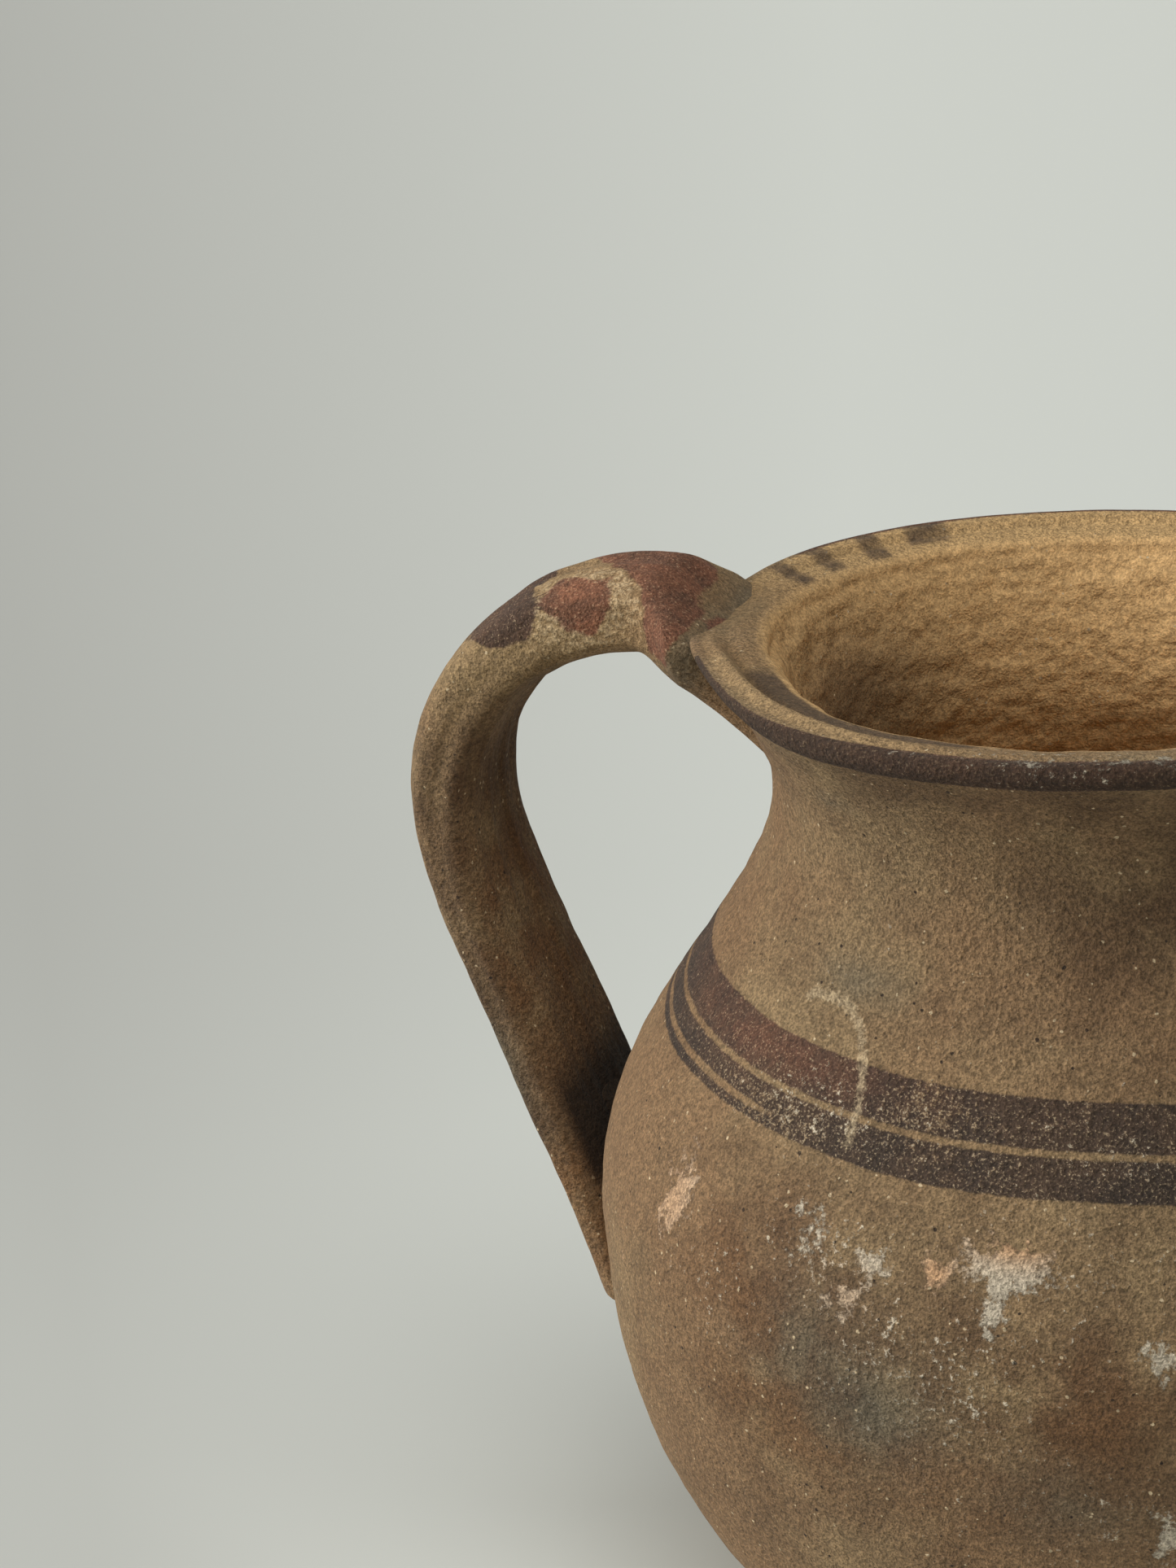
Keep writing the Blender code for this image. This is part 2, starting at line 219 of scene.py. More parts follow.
class JugView(bpy.types.PropertyGroup):
    """Where the camera stands and looks."""

    place: FloatVectorProperty(name="Place", description="Where the camera stands",
                               default=(0.1065, -0.4803, 0.325), unit="LENGTH", subtype="TRANSLATION")
    yaw: angle("Yaw", -21.8, "Turn of the camera from +Y towards +X")
    pitch: angle("Pitch", 20.06, "How far the camera looks down")
    roll: angle("Roll", -2.13, "Tilt of the camera about its own line of sight")
    lens: FloatProperty(name="Lens", description="Focal length in millimetres on a 36 mm sensor",
                        default=80.33)


def heading(slope):
    return np.array([math.cos(slope), math.sin(slope)])


UP = heading(math.pi / 2)
OUT = heading(0.0)


def bezier(start, start_run, end_run, end, count=80):
    """Points of a cubic curve; the runs lead out of its start and on past its end."""
    t = np.linspace(0, 1, count)[:, None]
    first, last = np.array(start), np.array(end)
    return ((1 - t) ** 3 * first + 3 * (1 - t) ** 2 * t * (first + start_run)
            + 3 * (1 - t) * t ** 2 * (last - end_run) + t ** 3 * last)


def chain(*lines):
    """Joins lines that share their end points."""
    return np.vstack([lines[0], *(line[1:] for line in lines[1:])])


def run_along(line):
    """Length along a line up to each of its points."""
    return np.concatenate([[0.0], np.cumsum(np.linalg.norm(np.diff(line, axis=0), axis=1))])


def spaced(line, step):
    """The line with evenly spaced points, about one step apart."""
    run = run_along(line)
    places = np.linspace(0, run[-1], max(2, round(run[-1] / step) + 1))
    return np.stack([np.interp(places, run, line[:, axis]) for axis in (0, 1)], axis=1)


def stretch(line, low, high):
    """The part of a climbing line between two heights."""
    inside = line[(line[:, 1] > low) & (line[:, 1] < high)]
    ends = [[np.interp(height, line[:, 1], line[:, 0]), height] for height in (low, high)]
    return np.vstack([ends[0], inside, ends[1]])


def right_normals(line):
    """Unit normals on the right-hand side of a line."""
    along = np.gradient(line, axis=0)
    along /= np.linalg.norm(along, axis=1)[:, None]
    return np.stack([along[:, 1], -along[:, 0]], axis=1)


# Share of the way to a corner at which a cubic curve comes closest to an arc
ARC_PULL = 0.55


def eased(before, corner, after, size):
    """A small arc in place of a corner."""
    start = corner + (before - corner) / np.linalg.norm(before - corner) * size
    end = corner + (after - corner) / np.linalg.norm(after - corner) * size
    return bezier(start, (corner - start) * ARC_PULL, (end - corner) * ARC_PULL, end, 7)


def wall_lines(wall):
    """The outside, the lip and the inside as lines of radius and height."""
    base = (wall.base_radius, 0.0)
    belly = (wall.belly_radius, wall.belly_height)
    neck = (wall.neck_radius, wall.neck_height)
    under = np.array([wall.rim_radius, wall.jug_height - wall.lip_edge])
    edge = np.array([wall.rim_radius, wall.jug_height])
    mouth = np.array([wall.rim_radius - wall.rim_width, wall.jug_height - wall.rim_dish])
    foot = bezier(base, heading(wall.foot_angle) * wall.foot_run, UP * wall.belly_run_down, belly)
    shoulder = bezier(belly, UP * wall.belly_run_up, UP * wall.neck_run_down, neck)
    flare = bezier(neck, UP * wall.neck_run_up, heading(wall.flare_angle) * wall.flare_run, under)
    body = chain(foot, shoulder)
    hollow = body - right_normals(body) * wall.wall
    throat = bezier(hollow[-1], UP * wall.neck_run_up, heading(wall.throat_angle) * wall.throat_run, mouth)
    inside = chain(stretch(hollow, wall.floor, hollow[-1, 1]), throat)
    lower = eased(flare[-9], under, edge, wall.lip_round)
    upper = eased(under, edge, mouth, wall.lip_round)
    brink = eased(edge, mouth, throat[-9], wall.lip_round)
    outside = chain(body, flare)
    outside = outside[outside[:, 1] < lower[0, 1]]
    inside = inside[inside[:, 1] < brink[-1, 1]]
    return np.vstack([outside, lower[:1]]), np.vstack([lower, upper, brink]), np.vstack([inside, brink[-1:]])


def speckle(points, size, octaves=1):
    """Smooth noise, about -1 to 1, with lumps of about the given size."""
    scaled = points.reshape(-1, 3) / size
    return np.array([noise.fractal(spot, 1.0, 2.0, octaves) for spot in scaled]).reshape(points.shape[:-1])


def bump(values, middle, spread):
    return np.exp(-((values - middle) / spread) ** 2)


def ramp(values, start, end):
    """A smooth step from 0 at start to 1 at end."""
    t = np.clip((values - start) / (end - start), 0, 1)
    return t * t * (3 - 2 * t)


def turned_by(angles, middle):
    """Angles measured from a middle one, between -pi and pi."""
    return (angles - middle + math.pi) % math.tau - math.pi


# Edges that turn by more than this stay sharp
SHARP = math.radians(50)


def mesh_piece(name, points, faces, marks, node, material):
    """A piece of clay in place of one solid of the jug, with its marks stored on its points."""
    mesh = bpy.data.meshes.new(name)
    mesh.from_pydata(points.tolist(), [], faces)
    mesh.shade_smooth()
    mesh.set_sharp_from_angle(angle=SHARP)
    for mark, values in marks.items():
        mesh.attributes.new(mark, "FLOAT", "POINT").data.foreach_set("value", values.astype(np.float32))
    mesh.materials.append(material)
    piece = bpy.data.objects.new(name, mesh)
    bpy.context.scene.collection.objects.link(piece)
    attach(piece, "root")
    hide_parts(node)


def grid_faces(rows, columns, closed_rows):
    """Quads of a grid that closes round its columns, and round its rows too if asked."""
    row = np.arange(rows if closed_rows else rows - 1)[:, None]
    column = np.arange(columns)[None, :]
    after = (column + 1) % columns
    below = (row + 1) % rows
    corners = [row * columns + column, row * columns + after,
               below * columns + after, below * columns + column]
    return np.stack(corners, axis=-1).reshape(-1, 4)


# Heights outside where one ring of clay was set on the next
SEAMS = {name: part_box(name)[0].z for name in ("belly_wall", "shoulder_wall", "neck_collar", "rim_lip")}

# Sizes of the hand's lumps, the fingers' marks, the wheel's rings and the brush's wandering
LUMP = 30 * MM
FINGER = 7 * MM
RING = 4.2 * MM
SWAY = 35 * MM

# Bead and groove along the lip: middle and half width, as shares of the width of its top face
BEAD = (0.26, 0.13)
GROOVE = (0.52, 0.07)

# Where the bead stands highest, and how far round the jug it does
BEAD_SIDE = (math.radians(-135), math.radians(38))

# How far round the jug the edge's slip stops from the middle of the handle
SLIP_STOP = math.radians(24)

# Middle of the side where the lip's top face is clean
FAR_SIDE = math.radians(75)

# Painted shade inside by the handle, with some dirt, and darker painted shade below it: place and spread
# round the jug in degrees, height and its spread in mm
SHADE_INSIDE = (168, 34, 151, 15)
DEEP_SHADE_INSIDE = (158, 26, 143, 11)


class PotSurface:
    """The whole wall as one grid of points, so that its pieces meet without a mark."""

    def __init__(self, wall, hand, bands):
        self.wall = wall
        outside, lip, inside = wall_lines(wall)
        outline = self.outline(outside, lip, inside)
        self.angles = np.arange(wall.turn) / wall.turn * math.tau - math.pi
        normals = right_normals(outline)
        around = np.stack([np.cos(self.angles), np.sin(self.angles)], axis=1)
        true = self.swept(outline, around)
        outward = self.swept(normals, around)
        self.points = self.pressed(true, hand) + outward * self.relief(true, hand)[..., None]
        self.marks = self.slip_marks(true, bands)
        self.marks |= self.ground_marks(true)

    def outline(self, outside, lip, inside):
        """One line from the base's centre over the lip to the floor's centre, and the places of its seams."""
        wall = self.wall
        heights = [0.0, *SEAMS.values()]
        steps = (wall.step, wall.step, wall.band_step, wall.step)
        outer = [spaced(stretch(outside, *span), step) for *span, step in zip(heights, heights[1:], steps)]
        outer.append(spaced(stretch(outside, heights[-1], outside[-1, 1]), wall.lip_step))
        rises = [wall.floor, *(height + wall.seam_rise for height in heights[1:])]
        inner = [spaced(stretch(inside, low, high), wall.step)[::-1] for low, high in zip(rises, rises[1:])]
        inner.append(spaced(stretch(inside, rises[-1], inside[-1, 1]), wall.lip_step)[::-1])
        under = spaced(np.array([[0.0, 0.0], outer[0][0]]), 2 * wall.step)
        floor = spaced(np.array([inner[0][-1], [0.0, wall.floor]]), wall.step)
        lip_points = spaced(lip, wall.lip_step)
        stretches = [under, *outer, lip_points, *reversed(inner), floor]
        line = chain(*stretches)
        ends = np.cumsum([len(part) - 1 for part in stretches])
        self.outer_seams = ends[1:5]
        self.inner_seams = ends[7:11]
        self.inner = ramp(np.arange(len(line)), ends[6] - 6, ends[6])
        run = run_along(line)
        arc = len(lip) // 3
        lip_run = run_along(lip)
        face_start, face_end = lip_run[2 * arc - 1], lip_run[2 * arc]
        self.up_edge = run - run[ends[5]] - face_start
        self.edge_height, self.face_width = face_start, face_end - face_start
        self.across_rim = np.clip(self.up_edge / self.face_width, 0, 1)
        self.loose = ramp(np.arange(len(line)), ends[0], ends[0] + 3)
        return line

    def near(self, place, spread):
        """Shares, from 1 at a place round the jug down to 0 away from it."""
        return bump(turned_by(self.angles, place), 0, spread)

    @staticmethod
    def swept(profile, around):
        """A line of radius and height turned round the axis."""
        flat = profile[:, None, :1] * around[None]
        tall = np.broadcast_to(profile[:, None, 1:], (*flat.shape[:2], 1))
        return np.concatenate([flat, tall], axis=2)

    def pressed(self, true, hand):
        """The wall with its lip pressed out of round, thinner beside the handle and lower under it."""
        wall = self.wall
        height = true[..., 2]
        radius = np.maximum(np.linalg.norm(true[..., :2], axis=2), 1e-9)
        bent_from = wall.neck_height - 10 * MM
        thinned_from = wall.jug_height - 14 * MM
        lowered_from = wall.jug_height - 8 * MM
        weight = ramp(height, bent_from, wall.jug_height)
        front = self.near(hand.rim_front, hand.rim_spread)
        side = self.near(hand.side_place, hand.side_spread)
        inwards = weight * (hand.rim_pull * front + hand.side_pull * side)
        under = ramp(self.up_edge, 0, -self.edge_height)[:, None] * side
        under = under * ramp(height, thinned_from, wall.jug_height - wall.lip_edge)
        outer = ramp(radius, wall.rim_radius - 9 * MM, wall.rim_radius - 2 * MM)
        outer = outer * ramp(height, lowered_from, wall.jug_height)
        moved = true.copy()
        moved[..., :2] *= (1 - inwards / radius)[..., None]
        moved[..., 2] += hand.rim_lift * weight * front + hand.side_thin * under
        moved[..., 2] -= hand.root_press * outer * self.near(math.pi, hand.root_spread)
        return moved

    def relief(self, true, hand):
        """Height of the hand's and the wheel's marks over the true form."""
        inner = self.inner[:, None]
        broad = speckle(true, LUMP, 3)
        fine = speckle(true * (1, 1, 2), FINGER, 2)
        rings = speckle(true * (0.15, 0.15, 1), RING, 2)
        outside = hand.lumps * broad * 0.7 + hand.lumps * 0.25 * fine + hand.rings * rings
        wiped = hand.rings * (1 + 2 * ramp(true[..., 2], 145 * MM, 158 * MM))
        inside = hand.inner_lumps * (0.5 * broad + 0.6 * fine) + wiped * rings
        strength = (0.35 + 0.65 * self.near(*BEAD_SIDE)) * (1 - self.near(math.pi, hand.root_spread))
        face = self.across_rim[:, None]
        on_face = ((face > 0) & (face < 1)).astype(float)
        bead = hand.bead * bump(face, *BEAD) - hand.groove * bump(face, *GROOVE)
        past_edge = self.up_edge[:, None]
        calm = 1 - 0.6 * bump(past_edge, 0, 6 * MM)
        under_brink = 0.45 * hand.groove * bump(past_edge, self.face_width + 3 * MM, 0.9 * MM)
        lumpy = (outside * (1 - inner) + inside * inner) * self.loose[:, None] * calm
        return lumpy + on_face * bead * strength - under_brink

    def brushed_bands(self, true, bands):
        """Depth inside the two bands of slip, the lower one with its thin bare line by the handle."""
        height = true[..., 2] + bands.wander * speckle(true * (1, 1, 0), SWAY, 2)
        upper = np.minimum(bands.upper_top - height, height - bands.line_top)
        lower = np.minimum(bands.line_bottom - height, height - bands.lower_bottom)
        past = np.where(self.angles < 0, bands.thin_end - self.angles, self.angles - bands.thin_start)
        bare = ramp(past, math.radians(-4), math.radians(14))
        thin = np.abs(height - bands.thin_line) + 2 * MM * (1 - bare) - bands.thin_width / 2
        return np.maximum(upper, np.minimum(lower, thin))

    def brushed_edge(self):
        """Depth inside the slip on the lip's square edge, which laps over its top in front."""
        front = ramp(self.angles, math.radians(-130), math.radians(-100))
        laps = (1.6 * front - 0.6 * ramp(self.angles, 0, 1) - 0.7) * MM
        past_edge = self.up_edge[:, None]
        edge = np.minimum(past_edge + self.edge_height + 0.6 * MM, laps - past_edge)
        from_handle = np.abs(turned_by(self.angles, math.pi)) - SLIP_STOP
        return np.minimum(edge, from_handle * self.wall.rim_radius)

    def shade_patch(self, true, place, spread, height, tall):
        """Share of a patch of painted shade at one place and height."""
        around = self.near(math.radians(place), math.radians(spread))
        return around * bump(true[..., 2], height * MM, tall * MM)

    def slip_marks(self, true, bands):
        """Depth in mm inside the brushed slip, negative outside it, and shares of clean clay and of painted
        shade, with some dirt, inside by the handle.
        """
        inner = self.inner[:, None] + 0 * true[..., 2]
        edge = self.brushed_edge()
        slip = np.maximum(np.where(inner > 0, -0.01, self.brushed_bands(true, bands)), edge)
        face = self.across_rim[:, None]
        on_face = (face > 0) & (face < 1)
        from_far_side = np.abs(turned_by(self.angles, FAR_SIDE))
        far = ramp(from_far_side, math.radians(120), math.radians(70))
        clean = np.maximum(inner, ramp(face, 0.0, 0.08) * (0.25 + 0.75 * far))
        # Painted shade inside by the handle, with some dirt; it darkens the clean clay there
        soil_and_shade = self.shade_patch(true, *SHADE_INSIDE)
        return {
            "slip": slip / MM,
            "inner": inner,
            "clean": clean * (1 - 0.75 * soil_and_shade),
            "fresh": inner * (1 - soil_and_shade),
            "soil_and_shade": inner * soil_and_shade,
            "stain": on_face * np.maximum(self.ticks(true, face), self.smear(true, face)),
            # Darker painted shade inside by the handle, and the slip lying thick on the lip's edge
            "soot_and_shade": np.maximum(0.5 * inner * self.shade_patch(true, *DEEP_SHADE_INSIDE), 0.65 * ramp(edge / MM, 0, 0.4)),
            "chalk": self.chalk(true),
        }

    def ticks(self, true, face):
        """Shares of the soft short strokes across the lip beside the handle."""
        radius = np.linalg.norm(true[..., :2], axis=2)
        share = 0.0
        for middle, half, crossed in TICKS:
            leaning = math.radians(middle) + TICK_LEAN * face
            off = np.abs(turned_by(self.angles, leaning)) * radius / MM
            stroke = ramp(off, half + 0.9, half - 0.5) * ramp(face, crossed + 0.08, crossed - 0.08)
            share = np.maximum(share, stroke)
        return share * (0.75 + 0.3 * speckle(true, 3 * MM, 2))

    def smear(self, true, face):
        """Share of the soft smear along the lip's brink, in front of the handle."""
        start, narrows, end = (math.radians(place) for place in SMEAR)
        along = np.minimum(self.angles - start, end - self.angles) * self.wall.rim_radius * 0.25
        depth = (face - 0.5 - 0.25 * ramp(self.angles, narrows, end)) * self.wall.rim_width
        return 0.8 * ramp(np.minimum(along, depth) / MM + 0.6 * speckle(true, 5 * MM, 2), -0.4, 1.2)

    def chalk(self, true):
        """Depth in millimetres inside a strip along the pale line that arches over the upper band."""
        arch = bezier(*CHALK_ARCH, 24)
        around = turned_by(self.angles, math.radians(CHALK_MIDDLE)) * np.linalg.norm(true[..., :2], axis=2)
        spots = np.stack([around / MM, true[..., 2] / MM], axis=2)
        radius = np.interp(arch[:, 1], *CHALK_RADII)
        line = np.stack([np.radians(arch[:, 0] - CHALK_MIDDLE) * radius, arch[:, 1]], axis=1)
        by_height = np.abs(true[..., 2] - 120 * MM) < 20 * MM
        near = (np.abs(around) < 30 * MM) & by_height & (self.inner[:, None] == 0)
        depth = np.zeros(around.shape)
        depth[near] = np.clip(CHALK_HALF - line_reach(spots[near], line), 0, None)
        return depth

    def ground_marks(self, true):
        """Shares of wear, crust, stain and smoke, from the patches that the ground left, and of painted shade
        under the lip and inside by the handle.
        """
        marks = {mark: 0.0 for mark in PATCHES}
        # The painted shade inside by the handle joins the dark patches
        marks["umber_and_shade"] = self.marks.pop("soil_and_shade")
        radius = np.linalg.norm(true[..., :2], axis=2)
        for mark, patches in PATCHES.items():
            for place, height, wide, tall, strength in patches:
                off = turned_by(self.angles, math.radians(place)) * radius
                patch = bump(off, 0, wide * MM) * bump(true[..., 2], height * MM, tall * MM)
                marks[mark] = np.maximum(marks[mark], strength * patch * (1 - self.inner[:, None]))
        return marks

    def piece(self, name, rows, slot, material):
        """A ring of the wall, closed along its two seams."""
        points = self.points[rows].reshape(-1, 3)
        marks = {mark: values[rows].reshape(-1) for mark, values in self.marks.items()}
        faces = grid_faces(len(rows), self.wall.turn, True)
        mesh_piece("jug_" + name, points, faces.tolist(), marks, name, material)


# Ticks on the lip: place round the jug in degrees, half width in mm, share of the lip's width that they cross
TICKS = ((161, 1.5, 0.95), (153, 1.6, 0.95), (143.5, 1.9, 0.95), (133.5, 3.6, 0.75))
TICK_LEAN = math.radians(2.6)

# Smear on the lip: where it starts, begins to narrow and ends, in degrees round the jug
SMEAR = (-150, -125, -96)

# Pale line over the upper band, in degrees round the jug and mm of height: its start, the runs out of it and
# on past its end, and its end; the wall's radius at two heights; the line's middle; half the strip's width
CHALK_ARCH = ((-125.5, 126.4), np.array((11, 4.5)), np.array((0.5, -9)), (-110.5, 112))
CHALK_RADII = ((112, 129), (70.0, 57.0))
CHALK_MIDDLE = -116
CHALK_HALF = 3

# Patches that the ground left on the wall, and two dark ones under the lip that are painted shade, for each
# mark: degrees round the jug, height, half width and half height in mm, strength
PATCHES = {
    "crust": (
        (-88.7, 101.7, 9, 5, 1.1),
        (-89.6, 95.5, 3.5, 5, 1.0),
        (-93.4, 101.5, 5, 3, 0.8),
        (-103.6, 99.2, 4.5, 3, 1.0),
        (-96.4, 100, 3.5, 4, 0.95),
        (-111.9, 100.5, 6, 6, 0.84),
        (-132.8, 96.5, 6, 8.5, 1.05),
        (-134.5, 91.3, 2.5, 2.5, 0.8),
        (-106.1, 93.8, 5.5, 4.5, 0.85),
        (-73.1, 91.4, 3.5, 5, 1.0),
        (-72, 64.2, 4, 6, 1.05),
        (-143, 80.4, 2.5, 6, 0.6),
        (-88, 169, 8, 2.2, 0.75),
        (-75, 169.5, 9, 2.5, 0.9),
        (-104, 169, 5, 2, 0.6),
    ),
    "peach": (
        (-133.6, 95.5, 9, 13, 0.75),
        (-88, 104.5, 8, 2.5, 0.9),
        (-96.4, 100, 4.5, 5, 0.9),
        (-106.1, 93.8, 6, 5, 0.5),
        (-143, 80.4, 5, 8, 0.8),
    ),
    "lime": (
        (-98, 86, 32, 20, 0.6),
        (-124, 88, 18, 12, 0.55),
        (-106, 98, 22, 9, 0.65),
        (-116, 114, 24, 7, 0.62),
        (-86, 168, 16, 4, 0.6),
        (-85, 100, 30, 20, 0.45),
        (-110, 128, 40, 14, 0.25),
        (-78, 115, 30, 7, 0.5),
        (-102, 117, 8, 4, 0.6),
        (-80, 68, 34, 14, 0.45),
    ),
    "smoke": (
        (-80, 170, 16, 3, 0.9),
        (-176, 169, 13, 5, 0.6),
        (-102.5, 79, 11, 8, 0.65),
        (-109.7, 85.4, 10, 8, 0.5),
        (-82.7, 69.5, 10, 6, 0.4),
        (-116.6, 130.2, 9, 3, 0.5),
        (-123, 155, 4, 1.5, 0.5),
    ),
    "worn": (
        (-122, 112, 19, 6, 0.75),
        (-102, 117, 9, 5, 0.8),
        (-88, 115, 40, 9, 0.35),
        (-90, 168, 60, 4, 0.2),
    ),
    "red": (
        (-130, 119, 25, 4, 0.4),
        (110, 168, 80, 4, 0.6),
        (-85, 168, 70, 4, 0.3),
    ),
    "umber_and_shade": (
        (-82, 84, 40, 24, 0.95),
        (-68, 147, 26, 14, 1.0),
        (-72, 128, 26, 9, 0.55),
        (-112, 93, 22, 17, 1.0),
        (-104, 82, 34, 22, 1.0),
        # Painted shade under the lip
        (-95, 161, 55, 6, 0.8),
        (-110, 57, 32, 14, 0.5),
        (-122, 138, 16, 14, 0.35),
        # Painted shade under the lip, beside the handle
        (-144, 154, 22, 7, 0.55),
        (178, 169, 14, 5, 0.45),
    ),
    "ochre": (
        (-117.5, 77.4, 12, 10, 0.4),
        (-110.7, 70.5, 11, 7, 0.4),
        (-79.5, 82.5, 14, 10, 0.35),
        (-93.3, 71.4, 13, 8, 0.35),
        (-121, 88, 12, 10, 0.35),
    ),
}


def base_mesh(pot, material):
    """The base, whose two rings of points close on the axis below and inside."""
    below = np.arange(1, pot.outer_seams[0] + 1)
    inside = np.arange(pot.inner_seams[3], len(pot.points) - 1)
    rows = np.concatenate([below, inside])
    turn = pot.wall.turn
    points = np.vstack([pot.points[rows].reshape(-1, 3), pot.points[0, 0], pot.points[-1, 0]])
    marks = {mark: np.append(values[rows].reshape(-1), (values[0, 0], values[-1, 0]))
             for mark, values in pot.marks.items()}
    faces = grid_faces(len(rows), turn, False).tolist()
    low, high = len(points) - 2, len(points) - 1
    last = (len(rows) - 1) * turn
    for step in range(turn):
        after = (step + 1) % turn
        faces.append((low, after, step))
        faces.append((high, last + step, last + after))
    mesh_piece("jug_base_disc", points, faces, marks, "base_disc", material)


def strap_middle(strap, wall, outside):
    """The strap's middle line from its root in the lip, over its crown and grip, to its tail on the belly."""
    lip = np.array([wall.rim_radius, wall.jug_height])
    root = lip + (-strap.root_depth, -strap.root_drop)
    crown = lip + (strap.crown_out, strap.rise - strap.root_thickness / 2)
    grip_thickness = (strap.root_thickness + strap.tail_thickness) / 2
    grip = np.array([wall.belly_radius + strap.stand - grip_thickness / 2, wall.jug_height - strap.grip_drop])
    tail_height = wall.belly_height - strap.tail_drop
    belly_radius = np.interp(tail_height, outside[:, 1], outside[:, 0])
    tail_radius = belly_radius + strap.tail_proud - strap.tail_thickness / 2
    lean = heading(-math.pi / 2 - strap.tail_lean)
    over_rim = bezier(root, heading(strap.root_angle) * strap.root_run, OUT * strap.crown_run_in, crown)
    over_hand = bezier(crown, OUT * strap.crown_run_out, -UP * strap.grip_run_up, grip)
    down_belly = bezier(grip, -UP * strap.grip_run_down, lean * strap.tail_run, (tail_radius, tail_height))
    return chain(over_rim, over_hand, down_belly)


def from_skin(skin, spots):
    """Distance of points of radius and height from the filled jug, and the jug's outward normal there."""
    along = np.diff(skin, axis=0)
    span = np.sum(along ** 2, axis=1)
    offset = spots[:, None] - skin[:-1]
    t = np.clip(np.sum(offset * along, axis=2) / span, 0, 1)
    gap = offset - along * t[..., None]
    reach = np.linalg.norm(gap, axis=2)
    near = reach.argmin(axis=1)
    index = np.arange(len(spots))
    normal = np.stack([along[near, 1], -along[near, 0]], axis=1) / np.sqrt(span[near])[:, None]
    side = np.sign(np.sum(gap[index, near] * normal, axis=1))
    return reach[index, near] * side, normal


def to_profile(points):
    return np.stack([np.linalg.norm(points[:, :2], axis=1), points[:, 2]], axis=1)


def to_space(points, normal):
    """Normals of radius and height, turned to where the points stand round the jug."""
    around = points[:, :2] / np.linalg.norm(points[:, :2], axis=1)[:, None]
    return np.column_stack([around * normal[:, :1], normal[:, 1]])


def grid_normals(grid):
    """Outward unit normals of a tube of rings."""
    along = np.gradient(grid, axis=0)
    across = np.roll(grid, -1, axis=1) - np.roll(grid, 1, axis=1)
    normal = np.cross(across, along)
    return normal / np.maximum(np.linalg.norm(normal, axis=2), 1e-12)[..., None]


def squarish_oval(squareness, count):
    """Points from -1 to 1 of an oval with flattened sides, evenly spaced once it is twice as wide."""
    turn = np.linspace(0, math.tau, 2001)
    sides = [np.sign(wave) * np.abs(wave) ** (2 / squareness) for wave in (np.cos(turn), np.sin(turn))]
    run = run_along(np.stack([2 * sides[0], sides[1]], axis=1))
    places = (np.arange(count) + 0.5) / count * run[-1]
    return [np.interp(places, run, side) for side in sides]


# Count of neighbours that calm a direction
CALM_SPAN = 17

# How much the tail's end narrows
TAIL_NARROWS = 0.75

# Size of the lines that pulling leaves in wet clay
LINE_WIDTH = 3.5 * MM
LINE_LENGTH = 45 * MM

# Sweep of the root into the lip: how sharply it grows towards the lip, between which heights from the lip's
# face it comes in, how much of it the far side loses, and how far it droops at its ends
SWEEP_CURVE = 2.2
SWEEP_HEIGHTS = (-13 * MM, 3 * MM)
SWEEP_LOSS = 0.5
SWEEP_DROOP = 0.4

# Depth of clay that has no slip near it, in mm
BARE = -9.0


